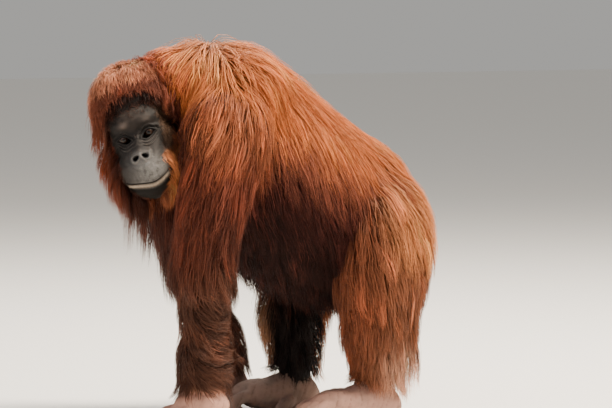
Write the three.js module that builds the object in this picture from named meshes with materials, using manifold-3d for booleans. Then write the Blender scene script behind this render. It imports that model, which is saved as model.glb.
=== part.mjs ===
// A young female orangutan standing on all fours, life size, in millimetres, +Z up.
// She faces -X with her left side towards -Y, and stands on the plane Z = 0. Her head is turned
// to her left, her left arm and left leg bear weight ahead of and behind the right ones.
// Every part of the body is a ball drawn out along a line of sections, and the long coat hangs
// over it as flat locks. Where two parts meet, one is cut back from the other by GAP.

import * as THREE from 'three';
import { mergeVertices } from 'three/addons/utils/BufferGeometryUtils.js';
import Module from 'manifold-3d';

const wasm = await Module();
wasm.setup();

// Driving sizes
const GAP = 0.3; // between parts that touch
const LEFT = -1; // the sign of Y on her left side
const RIGHT = 1;
const HEAD_CENTRE = [-318, -30, 505];
const HEAD_TURN = { yaw: 66, pitch: -6, roll: -18 }; // degrees: to her left, down, towards her right shoulder
const EYE = { radius: 11.5, x: -57, apart: 21, z: -10 }; // in the head's frame, each eye's distance from the middle
const MOUTH = { height: -84, half: 37, rise: 9 }; // half its width, and how far its corners turn up
const NOSTRIL = { height: -38, apart: 7.5 };
const WRIST_HEIGHT = 66;
const ANKLE_HEIGHT = 62;
const HAND = { left: [-243, -141], right: [-88, 158] }; // where each wrist stands, as X and Y
const FOOT = { left: [82, -108], right: [14, 84] }; // where each ankle stands

// Colours of the coat and the bare skin
const COAT = new THREE.MeshStandardMaterial({ color: 0xb4572b, roughness: 0.75, metalness: 0 });
const DARK_COAT = new THREE.MeshStandardMaterial({ color: 0x6e3420, roughness: 0.8, metalness: 0 });
const FACE_SKIN = new THREE.MeshStandardMaterial({ color: 0x6b645f, roughness: 0.6, metalness: 0 });
const PALE_SKIN = new THREE.MeshStandardMaterial({ color: 0xa9796a, roughness: 0.65, metalness: 0 });
const EYEBALL = new THREE.MeshStandardMaterial({ color: 0x2a1a10, roughness: 0.15, metalness: 0 });

const radians = THREE.MathUtils.degToRad;
const { lerp, clamp } = THREE.MathUtils;

/** A smooth line through rows of numbers, spaced evenly from 0 to 1. */
function through(rows) {
  const times = rows.map((_, i) => i / (rows.length - 1));
  const line = new THREE.CubicInterpolant(times, rows.flat(), rows[0].length);
  return (t) => Array.from(line.evaluate(clamp(t, 0, 1)));
}

/**
 * A limb or other tube: each row is a section's middle, its half depth and its half width.
 * The width lies along Y as nearly as the line allows, and the depth across both.
 */
function tube(rows, { around = 12, along = 8, blunt = 6 } = {}) {
  const at = through(rows);
  const ringAt = (t) => {
    const [x, y, z, deep, wide] = at(t);
    const centre = new THREE.Vector3(x, y, z);
    const before = at(Math.max(0, t - 0.02));
    const after = at(Math.min(1, t + 0.02));
    const way = new THREE.Vector3(after[0] - before[0], after[1] - before[1], after[2] - before[2]).normalize();
    const side = new THREE.Vector3(0, 1, 0);
    side.addScaledVector(way, -side.dot(way)).normalize();
    const front = side.clone().cross(way);
    return { centre, deep: front.multiplyScalar(deep), wide: side.multiplyScalar(wide) };
  };
  return { ringAt, around, along, blunt };
}

/** The trunk: each row gives a section's top and bottom as X and Z, and its half width. */
function ribs(rows, { around = 20, along = 12, blunt = 6, middle = 0 } = {}) {
  const at = through(rows);
  const ringAt = (t) => {
    const [topX, topZ, footX, footZ, wide] = at(t);
    return {
      centre: new THREE.Vector3((topX + footX) / 2, middle, (topZ + footZ) / 2),
      deep: new THREE.Vector3((topX - footX) / 2, 0, (topZ - footZ) / 2),
      wide: new THREE.Vector3(0, wide, 0),
    };
  };
  return { ringAt, around, along, blunt };
}

/** An ellipsoid, from its centre and its half sizes along X, Y and Z. */
function egg([x, y, z], [rx, ry, rz], { around = 16, along = 10 } = {}) {
  return tube([[x, y, z - rz, rx, ry], [x, y, z, rx, ry], [x, y, z + rz, rx, ry]], { around, along, blunt: 2 });
}

/** The place on a form's surface at a travel from -1 to 1 along it and a turn about it. */
function placeOn(form, travel, turn) {
  const ring = form.ringAt((travel + 1) / 2);
  const full = form.fullness ? form.fullness(travel) : Math.sqrt(Math.max(0, 1 - Math.abs(travel) ** form.blunt));
  return ring.centre
    .addScaledVector(ring.deep, full * Math.cos(turn))
    .addScaledVector(ring.wide, full * Math.sin(turn));
}

/** A form as a solid, swollen by `grow` where another part is to be cut back from it. */
function solidOf(form, grow = 0) {
  const ball = new THREE.SphereGeometry(1, form.around, form.along);
  ball.deleteAttribute('normal');
  ball.deleteAttribute('uv');
  const place = ball.getAttribute('position');
  for (let i = 0; i < place.count; i++) {
    const polar = Math.acos(clamp(place.getY(i), -1, 1));
    const travel = form.blunt === 2 ? -Math.cos(polar) : lerp(-Math.cos(polar), (2 * polar) / Math.PI - 1, 0.5);
    const p = placeOn(form, travel, Math.atan2(place.getZ(i), place.getX(i)));
    place.setXYZ(i, p.x, p.y, p.z);
  }
  let closed = mergeVertices(ball, 1e-3);
  const turned = new THREE.Matrix4();
  if (form.matrix) closed.applyMatrix4(turned.copy(form.matrix));
  const index = closed.index.array;
  let volume = 0;
  const [a, b, c] = [new THREE.Vector3(), new THREE.Vector3(), new THREE.Vector3()];
  for (let i = 0; i < index.length; i += 3) {
    a.fromBufferAttribute(closed.attributes.position, index[i]);
    b.fromBufferAttribute(closed.attributes.position, index[i + 1]);
    c.fromBufferAttribute(closed.attributes.position, index[i + 2]);
    volume += a.dot(b.cross(c));
  }
  if (volume < 0) for (let i = 0; i < index.length; i += 3) [index[i], index[i + 1]] = [index[i + 1], index[i]];
  if (grow) {
    closed.computeVertexNormals();
    const normal = closed.getAttribute('normal');
    const spot = closed.getAttribute('position');
    for (let i = 0; i < spot.count; i++) {
      spot.setXYZ(
        i,
        spot.getX(i) + normal.getX(i) * grow,
        spot.getY(i) + normal.getY(i) * grow,
        spot.getZ(i) + normal.getZ(i) * grow,
      );
    }
  }
  return new wasm.Manifold(
    new wasm.Mesh({
      numProp: 3,
      vertProperties: new Float32Array(closed.attributes.position.array),
      triVerts: new Uint32Array(index),
    }),
  );
}

/** Several forms fused. */
const fused = (forms, grow = 0) => wasm.Manifold.union(forms.map((form) => solidOf(form, grow)));

/** Only the largest closed piece of a solid. */
const largest = (solid) => solid.decompose().reduce((best, piece) => (piece.volume() > best.volume() ? piece : best));

// Trunk, from the base of the neck back to the rump
const TRUNK = ribs(
  [
    [-238, 618, -264, 474, 72],
    [-200, 658, -228, 396, 108],
    [-102, 626, -170, 302, 126],
    [-10, 561, -90, 244, 131],
    [74, 505, 0, 208, 130],
    [130, 466, 78, 200, 120],
    [158, 420, 136, 220, 102],
    [176, 370, 166, 276, 72],
  ],
  { around: 24, along: 14 },
);
const SHOULDERS = [LEFT, RIGHT].map((side) => egg([-152, side * 76, 544], [80, 54, 74], { around: 12, along: 8 }));
const CHEST_END = { normal: [0.975, 0, -0.22], at: -188 }; // planes that part the trunk, as a normal and an offset
const BELLY_END = { normal: [0.983, 0, -0.184], at: 3 };
const NECK = tube(
  [
    [-200, 0, 560, 70, 72],
    [-255, -4, 556, 64, 64],
    [-308, -12, 524, 56, 56],
  ],
  { around: 12, along: 5 },
);

// Limbs, each from its root down to the wrist or ankle
const [handLX, handLY] = HAND.left;
const [handRX, handRY] = HAND.right;
const [footLX, footLY] = FOOT.left;
const [footRX, footRY] = FOOT.right;
const LIMB = {
  upper_arm_left: [
    [-176, -92, 556, 52, 40],
    [-190, -122, 500, 68, 53],
    [-220, -143, 415, 54, 48],
    [-242, -152, 330, 45, 44],
    [-248, -153, 258, 40, 40],
  ],
  forearm_left: [
    [-248, -152, 312, 40, 40],
    [-248, -150, 240, 45, 44],
    [handLX - 3, -146, 160, 40, 38],
    [handLX, handLY, WRIST_HEIGHT + 24, 35, 30],
    [handLX, handLY, WRIST_HEIGHT - 14, 33, 27],
  ],
  upper_arm_right: [
    [-176, 92, 556, 52, 40],
    [-182, 122, 500, 68, 53],
    [-176, 146, 415, 54, 48],
    [-162, 158, 330, 45, 44],
    [-152, 160, 258, 40, 40],
  ],
  forearm_right: [
    [-155, 160, 312, 40, 40],
    [-142, 160, 240, 45, 44],
    [-114, 159, 160, 40, 38],
    [handRX - 4, handRY, WRIST_HEIGHT + 24, 35, 30],
    [handRX, handRY, WRIST_HEIGHT - 14, 33, 27],
  ],
  thigh_left: [
    [124, -58, 408, 56, 42],
    [106, -86, 345, 76, 60],
    [96, -105, 275, 78, 60],
    [84, -113, 215, 70, 52],
    [76, -114, 168, 56, 46],
  ],
  shin_left: [
    [76, -114, 226, 56, 44],
    [84, -112, 165, 60, 45],
    [footLX + 5, -109, 108, 50, 38],
    [footLX + 2, footLY, ANKLE_HEIGHT, 33, 28],
    [footLX + 2, footLY, ANKLE_HEIGHT - 28, 28, 24],
  ],
  thigh_right: [
    [120, 58, 408, 56, 42],
    [98, 84, 345, 74, 60],
    [62, 94, 275, 72, 57],
    [18, 96, 215, 58, 48],
    [-1, 95, 168, 44, 40],
  ],
  shin_right: [
    [4, 95, 226, 44, 38],
    [8, 92, 165, 53, 42],
    [footRX + 2, 87, 108, 47, 36],
    [footRX + 2, footRY, ANKLE_HEIGHT, 33, 28],
    [footRX + 2, footRY, ANKLE_HEIGHT - 28, 28, 24],
  ],
};
const limb = (name) => tube(LIMB[name], { around: 12, along: 7 });

/** The palm of a hand: a block that slopes down from the wrist to the knuckles. */
const palm = ([x, y]) =>
  ribs(
    [
      [x + 29, 66, x + 27, 10, 20],
      [x + 8, 80, x + 12, -8, 33],
      [x - 20, 64, x - 16, -6, 40],
      [x - 44, 46, x - 40, 3, 37],
    ],
    { around: 10, along: 5, blunt: 5, middle: y },
  );

/** One finger of a half closed hand: out from the knuckle, down, and back under itself. */
const finger = ([x, y], across, reach) =>
  tube(
    [
      [x - 24, y + across * 0.92, 33, 10, 8],
      [x - 46, y + across, 35, 10.5, 8.8],
      [x - 50 - reach * 0.5, y + across * 1.06, 27, 10, 8.8],
      [x - 52 - reach * 0.5, y + across * 1.06, 11, 9, 8.4],
      [x - 50, y + across, 7, 7.5, 7],
    ],
    { around: 6, along: 5 },
  );

/** The thumb, short and on the inner side. */
const thumb = ([x, y], inward) =>
  tube(
    [
      [x + 6, y + inward * 24, 26, 12, 11],
      [x - 14, y + inward * 42, 16, 10, 10],
      [x - 38, y + inward * 51, 8, 8, 8],
    ],
    { around: 6, along: 4, blunt: 5 },
  );

/** The sole and instep of a foot, from the heel forward to the ball. */
const sole = ([x, y]) =>
  ribs(
    [
      [x + 47, 40, x + 47, 10, 17],
      [x + 24, 60, x + 26, -6, 26],
      [x - 20, 66, x - 14, -4, 32],
      [x - 62, 55, x - 58, 4, 37],
      [x - 98, 38, x - 96, 4, 34],
    ],
    { around: 10, along: 5, blunt: 5, middle: y },
  );

/** One long toe, curled down from the ball so that its tip lies under it. */
const toe = ([x, y], across, reach) =>
  tube(
    [
      [x - 80, y + across * 0.92, 27, 11, 8.6],
      [x - 102, y + across, 30, 11, 9.2],
      [x - 108 - reach * 0.5, y + across * 1.05, 23, 10.5, 9.2],
      [x - 110 - reach * 0.5, y + across * 1.04, 10, 9.5, 8.8],
      [x - 104, y + across, 7, 8, 7.4],
    ],
    { around: 6, along: 5 },
  );

/** The great toe, set far back on the inner side like a thumb. */
const greatToe = ([x, y], inward) =>
  tube(
    [
      [x - 12, y + inward * 18, 24, 13, 12],
      [x - 32, y + inward * 41, 16, 11, 10],
      [x - 56, y + inward * 50, 8, 8, 8],
    ],
    { around: 6, along: 4, blunt: 5 },
  );

// Across the hand and the foot, from the outer digit to the inner one, and how far each reaches
const FINGERS = [[-29, 20], [-10, 30], [9.5, 30], [28.5, 24]];
const TOES = [[-28, 22], [-9.5, 34], [9.5, 36], [28, 30]];

// Head, in its own frame: it faces -X, its left is -Y, and its origin lies between the ears
const HEAD_MATRIX = new THREE.Matrix4().compose(
  new THREE.Vector3(...HEAD_CENTRE),
  new THREE.Quaternion().setFromEuler(
    new THREE.Euler(radians(HEAD_TURN.roll), radians(HEAD_TURN.pitch), radians(HEAD_TURN.yaw), 'ZYX'),
  ),
  new THREE.Vector3(1, 1, 1),
);
const onHead = (form) => ({ ...form, matrix: HEAD_MATRIX });

const SKULL = egg([14, 0, 36], [76, 70, 72], { around: 14, along: 8 });
const BROW = egg([-40, 0, 14], [37, 50, 24], { around: 14, along: 6 });
const MIDFACE = egg([-42, 0, -18], [33, 48, 46], { around: 14, along: 8 });
const MUZZLE = egg([-72, 0, -62], [45, 48, 40], { around: 16, along: 9 });
const CHIN = egg([-62, 0, -92], [43, 40, 27], { around: 14, along: 6 });
const JAWS = [LEFT, RIGHT].map((side) => egg([-14, side * 36, -48], [47, 33, 53], { around: 10, along: 6 }));
const NAPE = egg([40, 0, -18], [50, 52, 56], { around: 12, along: 6 });
const NOSE = egg([-96, 0, -37], [14, 15, 9], { around: 8, along: 5 });
const BROWS = [LEFT, RIGHT].map((side) => egg([-67, side * EYE.apart, 8], [9, 19, 7], { around: 8, along: 4 }));
const MASK = [[-95, 0, -42], [60, 55, 84]]; // the bare face is what lies inside this ball

/** How far forward the face reaches at a place, as X in the head's frame. */
function faceFront(y, z) {
  const reach = [MUZZLE, CHIN, MIDFACE, BROW].map(({ ringAt }) => {
    const [low, middle, high] = [0, 0.5, 1].map(ringAt);
    const up = (2 * (z - middle.centre.z)) / (high.centre.z - low.centre.z);
    const left = 1 - (y / middle.wide.length()) ** 2 - up ** 2;
    return left > 0 ? middle.centre.x - middle.deep.length() * Math.sqrt(left) : 0;
  });
  return Math.min(...reach);
}

/** A thin roll that runs across the face, from rows of a middle and a thickness. */
function roll(rows, along = 5) {
  const at = through(rows);
  const ringAt = (t) => {
    const [x, y, z, deep, wide] = at(t);
    return {
      centre: new THREE.Vector3(x, y, z),
      deep: new THREE.Vector3(deep, 0, 0),
      wide: new THREE.Vector3(0, 0, wide),
    };
  };
  return { ringAt, around: 4, along, blunt: 4, matrix: HEAD_MATRIX };
}

/** A roll along the mouth, a little above or below its line and out from it. */
const alongMouth = (above, out, deep, high) =>
  roll(
    [-1, -0.6, -0.2, 0.2, 0.6, 1].map((share) => {
      const y = share * MOUTH.half;
      const z = MOUTH.height + MOUTH.rise * share ** 2 + above * (1 - 0.6 * share ** 2);
      return [faceFront(y, z) - out, y, z, deep, high];
    }),
    6,
  );

/** One lid, as a roll that follows the upper or the lower edge of an eye's opening. */
const lid = (side, height, thick) =>
  roll(
    [-1, -0.5, 0, 0.5, 1].map((share) => {
      const across = share * 12;
      const up = height * (1 - share ** 2);
      const x = EYE.x - Math.sqrt(Math.max(20, (EYE.radius + 0.6) ** 2 - across ** 2 - up ** 2));
      return [x, side * EYE.apart + across, EYE.z + up - 1.5 * share * side, thick, thick];
    }),
  );

/** Solids by node name, each cut back by GAP from those that were put in before it. */
const solids = {};
const grownForms = {};
function put(name, solid, grown) {
  let cut = solid;
  for (const [other, swollen] of Object.entries(grownForms)) {
    if (meet(cut, swollen)) cut = cut.subtract(swollen);
    if (cut.isEmpty()) throw new Error(`${name} lies inside ${other}`);
  }
  solids[name] = largest(cut);
  grownForms[name] = grown;
}

/** Whether the boxes of two solids meet. */
function meet(one, two) {
  const [a, b] = [one.boundingBox(), two.boundingBox()];
  return [0, 1, 2].every((k) => a.min[k] <= b.max[k] && b.min[k] <= a.max[k]);
}

/** The part of a solid on the near side of a plane, and short of it by `clear`. */
const before = (solid, { normal, at }, clear) => solid.trimByPlane(normal.map((n) => -n), -at + clear);
const after = (solid, { normal, at }, clear) => solid.trimByPlane(normal, at + clear);
const aboveFloor = (solid) => solid.trimByPlane([0, 0, 1], 0);

// Eyes, face, ears, neck and the rest of the head
const sides = { left: LEFT, right: RIGHT };
for (const [name, side] of Object.entries(sides)) {
  const ball = (radius) =>
    solidOf(onHead(egg([EYE.x, side * EYE.apart, EYE.z], [radius, radius, radius], { around: 10, along: 6 })));
  put(`eye_${name}`, ball(EYE.radius), ball(EYE.radius + GAP));
}
const mask = (grow) => solidOf(onHead(egg(MASK[0], MASK[1].map((r) => r + grow), { around: 14, along: 8 })));
const headForms = [SKULL, MIDFACE, ...JAWS, NAPE].map(onHead);
const faceForms = [SKULL, BROW, MIDFACE, MUZZLE, CHIN, NOSE, ...BROWS].map(onHead);
const lips = [alongMouth(5.5, -2.5, 5, 5), alongMouth(-6, -2, 5.5, 5.5)];
const lids = [LEFT, RIGHT].flatMap((side) => [lid(side, 6.6, 3.1), lid(side, -5.6, 2.6)]);
const openings = [
  alongMouth(0, 0.5, 7, 1.3),
  ...[LEFT, RIGHT].flatMap((side) => [
    onHead(egg([EYE.x - 9, side * EYE.apart, EYE.z + 0.4], [16, 11, 4.9], { around: 10, along: 4 })),
    onHead(egg([-109, side * NOSTRIL.apart, NOSTRIL.height - 1], [7, 3.6, 3.2], { around: 8, along: 4 })),
  ]),
];
const bareFace = fused([...faceForms, ...lips]).intersect(mask(0)).add(fused(lids).intersect(mask(0)));
put('face', bareFace.subtract(fused(openings)), mask(GAP));
for (const [name, side] of Object.entries(sides)) {
  const shell = (grow) =>
    solidOf(onHead(egg([4, side * 61, 2], [14, 12, 21].map((r) => r + grow), { around: 10, along: 6 })));
  const cup = solidOf(onHead(egg([-3, side * 72, 3], [9, 11, 14], { around: 8, along: 5 })));
  put(`ear_${name}`, shell(0).subtract(cup), shell(GAP));
}
put('neck', solidOf(NECK), solidOf(NECK, GAP));
put('head', fused(headForms), fused(headForms, GAP));

// Trunk
const trunk = (grow) => fused([TRUNK, ...SHOULDERS], grow);
put('chest', before(trunk(0), CHEST_END, GAP / 2), before(trunk(GAP), CHEST_END, -GAP / 2));
put(
  'belly',
  before(after(trunk(0), CHEST_END, GAP / 2), BELLY_END, GAP / 2),
  before(after(trunk(GAP), CHEST_END, -GAP / 2), BELLY_END, -GAP / 2),
);
put('rump', after(trunk(0), BELLY_END, GAP / 2), after(trunk(GAP), BELLY_END, -GAP / 2));

// Limbs, from the root down
for (const part of ['upper_arm', 'thigh', 'forearm', 'shin']) {
  for (const name of Object.keys(sides)) {
    put(`${part}_${name}`, solidOf(limb(`${part}_${name}`)), solidOf(limb(`${part}_${name}`), GAP));
  }
}
for (const [name, side] of Object.entries(sides)) {
  const hand = [
    palm(HAND[name]),
    ...FINGERS.map(([across, reach]) => finger(HAND[name], -side * across, reach)),
    thumb(HAND[name], -side),
  ];
  put(`hand_${name}`, aboveFloor(fused(hand)), fused(hand, GAP));
  const foot = [
    sole(FOOT[name]),
    ...TOES.map(([across, reach]) => toe(FOOT[name], -side * across, reach)),
    greatToe(FOOT[name], -side),
  ];
  put(`foot_${name}`, aboveFloor(fused(foot)), fused(foot, GAP));
}

// Coat

/** Seeded draws from 0 to 1. */
function draws(seed) {
  let state = seed;
  return () => {
    state = (state * 1664525 + 1013904223) >>> 0;
    return state / 4294967296;
  };
}

/** The outsides of the solids as triangles with a ball round each, for finding the nearest place. */
function facesOf(list) {
  const faces = [];
  for (const solid of list) {
    const { vertProperties: spots, triVerts, numProp } = solid.getMesh();
    const corner = (i) => new THREE.Vector3().fromArray(spots, triVerts[i] * numProp);
    for (let i = 0; i < triVerts.length; i += 3) {
      const triangle = new THREE.Triangle(corner(i), corner(i + 1), corner(i + 2));
      const middle = triangle.getMidpoint(new THREE.Vector3());
      const reach = Math.max(...[triangle.a, triangle.b, triangle.c].map((p) => p.distanceTo(middle)));
      faces.push({ triangle, middle, reach, normal: triangle.getNormal(new THREE.Vector3()) });
    }
  }
  return faces;
}

/** The nearest place on those triangles, with the way out of the body there. */
function nearest(faces, p) {
  const spot = new THREE.Vector3();
  const best = { far: Infinity, at: new THREE.Vector3(), normal: null };
  for (const { triangle, middle, reach, normal } of faces) {
    if (p.distanceTo(middle) - reach >= best.far) continue;
    triangle.closestPointToPoint(p, spot);
    const far = p.distanceTo(spot);
    if (far < best.far) Object.assign(best, { far, at: best.at.copy(spot), normal });
  }
  return best;
}

const SINK = 11; // how deep a lock's root sits
const RISE = [-1, 0.2, 0.75, 0.9, 1, 1.3]; // a lock's height over the core along its length, in its lift
const TAPER = [0.7, 0.9, 1, 0.9, 0.6, 0.2];

/** One flat, tapered lock, laid over the body from its root along the lie of the coat. */
function lockAt(faces, root, { lie, wide, thick, hang }, lift, length, draw) {
  const steps = RISE.length - 1;
  const spot = root.at.clone();
  let normal = root.normal.clone();
  const turn = (draw() - 0.5) * 0.5;
  const settle = (way) => way.addScaledVector(normal, -way.dot(normal)).normalize();
  let way = settle(lie(spot));
  way.applyAxisAngle(normal, turn);
  const rows = [];
  let free = false;
  for (let i = 0; i <= steps; i++) {
    const high = i === 0 ? -SINK : RISE[i] * lift;
    const place = spot.clone().addScaledVector(normal, high);
    rows.push([...place.toArray(), ...normal.toArray(), TAPER[i] * wide]);
    spot.addScaledVector(way, length / steps);
    const found = nearest(faces, spot);
    free = free || found.far > 26 || (hang && found.normal.z < -0.35);
    if (free) {
      way.lerp(new THREE.Vector3(0, 0, -1), 0.35).normalize();
      normal = normal.clone().addScaledVector(way, -normal.dot(way)).normalize();
    } else {
      spot.copy(found.at);
      normal = normal.clone().lerp(found.normal, 0.7).normalize();
      way = settle(way.clone().lerp(lie(spot), 0.3));
    }
  }
  const at = through(rows);
  const ringAt = (t) => {
    const [x, y, z, nx, ny, nz, half] = at(t);
    const [a, b] = [at(Math.max(0, t - 0.05)), at(Math.min(1, t + 0.05))];
    const along = new THREE.Vector3(b[0] - a[0], b[1] - a[1], b[2] - a[2]).normalize();
    const out = new THREE.Vector3(nx, ny, nz);
    out.addScaledVector(along, -out.dot(along)).normalize();
    const side = along.cross(out);
    return { centre: new THREE.Vector3(x, y, z), deep: out.multiplyScalar(thick), wide: side.multiplyScalar(half) };
  };
  return { ringAt, around: 3, along: 4, blunt: 8 };
}

/** A direction with its Y turned outward on either side, of the body or of the head. */
const along = (x, y, z) => (p) => new THREE.Vector3(x, (p.y < 0 ? LEFT : RIGHT) * y, z);
const BODY_TO_HEAD = HEAD_MATRIX.clone().invert();
const alongHead = (x, y, z) => (p) => {
  const side = p.clone().applyMatrix4(BODY_TO_HEAD).y < 0 ? LEFT : RIGHT;
  return new THREE.Vector3(x, side * y, z).transformDirection(HEAD_MATRIX);
};
const overHead = (p) => {
  const { x, z } = p.clone().applyMatrix4(BODY_TO_HEAD);
  return z > 50 ? alongHead(-1, 0.4, -0.2)(p) : alongHead(x > 20 ? 0.3 : -0.1, 0.25, -1)(p);
};
const overChest = (p) => (p.x < -225 ? along(-0.2, 0.15, -1)(p) : along(0.45, 0.4, -0.9)(p));

const overArm = (p) => (p.y < 0 ? along(0.05, 0.1, -1)(p) : along(-0.45, 0, -1)(p));

// Each coated part's locks: their length, half width, thickness, height over the core, and the way they lie
const COATS = {
  head: { length: 70, wide: 22, thick: 6, lift: 11, lie: overHead, hang: true },
  neck: { length: 150, wide: 25, thick: 7, lift: 14, lie: along(-0.1, 0.2, -1), hang: true },
  chest: { length: 150, wide: 33, thick: 9, lift: 14, lie: overChest, hang: true },
  belly: { length: 145, wide: 33, thick: 9, lift: 13, lie: along(0.45, 0.22, -0.95), hang: true },
  rump: { length: 135, wide: 31, thick: 9, lift: 13, lie: along(0.5, 0.15, -0.95), hang: true },
  upper_arm: { length: 140, wide: 27, thick: 7, lift: 14, lie: overArm, hang: true },
  forearm: { length: 98, wide: 25, thick: 6, lift: 8, lie: along(0.8, 0.05, 0.55) },
  thigh: { length: 125, wide: 27, thick: 7, lift: 13, lie: along(0.35, 0.05, -1) },
  shin: { length: 92, wide: 24, thick: 6, lift: 9, lie: along(0.3, 0.05, -1) },
};
const SPREAD = { across: 1.9, along: 0.62 }; // least distance between roots, in half widths and in lengths
const TRIES = 4000;

/** Which coated part a node is, if it is one. */
const coatOf = (name) => COATS[name.replace(/_(left|right)$/, '')];

/** Roots spread evenly over the outside of the body, each with the node that it lies on. */
function rootsOver(bodies, draw) {
  const outside = facesOf([wasm.Manifold.union(Object.values(grownForms)).trimByPlane([0, 0, 1], 5)]);
  const areas = outside.map(({ triangle }) => triangle.getArea());
  const whole = areas.reduce((a, b) => a + b);
  const facesByNode = Object.entries(bodies).map(([name, solid]) => ({ name, faces: facesOf([solid]) }));
  const roots = [];
  for (let i = 0; i < TRIES; i++) {
    let left = draw() * whole;
    const pick = areas.findIndex((area) => (left -= area) < 0);
    const { a, b, c } = outside[Math.max(0, pick)].triangle;
    const [u, v] = [Math.sqrt(draw()), draw()];
    const spot = a.clone().multiplyScalar(1 - u).addScaledVector(b, u * (1 - v)).addScaledVector(c, u * v);
    const { name } = facesByNode
      .map((node) => ({ name: node.name, far: nearest(node.faces, spot).far }))
      .reduce((one, two) => (two.far < one.far ? two : one));
    const coat = coatOf(name);
    if (!coat) continue;
    const normal = outside[Math.max(0, pick)].normal;
    const way = coat.lie(spot);
    way.addScaledVector(normal, -way.dot(normal)).normalize();
    const crowded = roots.some((root) => {
      const apart = root.at.clone().sub(spot);
      const run = apart.dot(way);
      const across = Math.sqrt(Math.max(0, apart.lengthSq() - run * run));
      return (across / (SPREAD.across * coat.wide)) ** 2 + (run / (SPREAD.along * coat.length)) ** 2 < 1;
    });
    if (!crowded) roots.push({ at: spot, normal, name, coat });
  }
  return roots;
}

/** Sets locks all over the body and fuses each with the node it grows from. */
function growCoat(bodies, seed) {
  const draw = draws(seed);
  const faces = facesOf([wasm.Manifold.union(Object.values(grownForms))]);
  const locks = Object.fromEntries(Object.keys(bodies).map((name) => [name, []]));
  const grownLocks = Object.fromEntries(Object.keys(bodies).map((name) => [name, []]));
  for (const { at, normal, name, coat } of rootsOver(bodies, draw)) {
    const others = Object.keys(bodies).filter((other) => other !== name);
    const length = coat.length * lerp(0.85, 1.12, draw());
    const variants = [[1, 1], [1.2, 1], [1.4, 0.9], [1, 0.75], [1.4, 0.7], [1, 0.55]];
    variants.some(([higher, share]) => {
      const form = lockAt(faces, { at, normal }, coat, coat.lift * higher * lerp(0.8, 1.15, draw()), length * share, draw);
      let lock = solidOf(form);
      const whole = lock.volume();
      for (const other of others) if (meet(lock, grownForms[other])) lock = lock.subtract(grownForms[other]);
      if (lock.isEmpty()) return false;
      lock = largest(lock);
      if (lock.volume() < 0.75 * whole || lock.boundingBox().min[2] < 5) return false;
      const near = others.flatMap((other) => grownLocks[other]);
      if (near.some((other) => meet(lock, other) && !lock.intersect(other).isEmpty())) return false;
      if (lock.intersect(bodies[name]).volume() < 150) return false;
      locks[name].push(lock);
      grownLocks[name].push(solidOf(form, GAP));
      return true;
    });
  }
  for (const [name, list] of Object.entries(locks)) {
    if (list.length) bodies[name] = largest(wasm.Manifold.union([bodies[name], ...list]));
  }
}
growCoat(solids, 14);

// The part
const BARE = { face: FACE_SKIN, eye: EYEBALL, ear: PALE_SKIN, hand: PALE_SKIN, foot: PALE_SKIN };
const group = new THREE.Group();
group.name = 'orangutan';
for (const [name, solid] of Object.entries(solids)) {
  const { vertProperties, triVerts } = solid.getMesh();
  const shape = new THREE.BufferGeometry();
  shape.setAttribute('position', new THREE.BufferAttribute(vertProperties, 3));
  shape.setIndex(new THREE.BufferAttribute(triVerts, 1));
  const mesh = new THREE.Mesh(shape, BARE[name.split('_')[0]] ?? (name === 'belly' ? DARK_COAT : COAT));
  mesh.name = name;
  group.add(mesh);
}

// The origin goes on the floor under the middle of the whole
const { min, max } = new THREE.Box3().setFromObject(group);
group.position.set(-(min.x + max.x) / 2, -(min.y + max.y) / 2, 0);

export default group;
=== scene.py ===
"""A young orangutan on all fours, life size: bare skin, eyes, nails and a long coat over its solids.

Sizes are in millimetres, in the frame of the part's own source: the animal faces -X, its left side
is towards -Y and +Z is up. The head has a frame of its own, in which it faces -X.
"""

import logging
import math
from dataclasses import dataclass
from enum import Enum, IntEnum
from typing import Callable

import bmesh
import bpy
import numpy as np
from mathutils import Matrix, Vector, kdtree
from mathutils.bvhtree import BVHTree


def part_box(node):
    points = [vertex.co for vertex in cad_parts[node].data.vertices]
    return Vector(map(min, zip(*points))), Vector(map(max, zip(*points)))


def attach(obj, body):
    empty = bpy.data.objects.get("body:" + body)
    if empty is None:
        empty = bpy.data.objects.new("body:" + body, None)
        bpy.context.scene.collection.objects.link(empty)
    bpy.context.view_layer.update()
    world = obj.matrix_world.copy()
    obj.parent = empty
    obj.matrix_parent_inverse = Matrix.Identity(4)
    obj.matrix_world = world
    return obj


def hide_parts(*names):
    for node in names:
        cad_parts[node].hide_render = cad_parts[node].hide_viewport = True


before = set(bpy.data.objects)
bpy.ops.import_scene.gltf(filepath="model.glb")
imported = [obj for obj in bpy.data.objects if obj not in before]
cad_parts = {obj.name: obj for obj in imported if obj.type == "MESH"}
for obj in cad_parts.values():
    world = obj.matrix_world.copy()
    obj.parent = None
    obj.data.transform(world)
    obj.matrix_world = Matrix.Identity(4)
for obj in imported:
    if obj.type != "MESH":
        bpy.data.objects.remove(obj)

log = logging.getLogger("orangutan")
MM = 0.001
LEFT, RIGHT = -1, 1
SIDES = {"left": LEFT, "right": RIGHT}
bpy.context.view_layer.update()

# The head's place and turn, and what sits in it
HEAD_CENTRE = (-318, -30, 505)
HEAD_TURN = (-18, -6, 66)  # degrees of roll, pitch and yaw
EYE_CENTRE = (-57, 21, -10)
EYE_RADIUS = 11.5
EYE_HALF, UPPER_LID, LOWER_LID = 11.5, 5.4, 4.2  # the opening's half width and its reach up and down
MOUTH_HEIGHT, MOUTH_HALF, MOUTH_RISE = -84, 37, 9
NOSTRIL = (8.2, -39)
WRIST_HEIGHT, ANKLE_HEIGHT = 66, 62
HAND = {"left": (-243, -141), "right": (-88, 158)}
FOOT = {"left": (82, -108), "right": (14, 84)}

# How much thinner the flesh is than the solids under the locks
UNDERCOAT = 9.0
THINNEST = 2.0  # the least half size of any section


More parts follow.
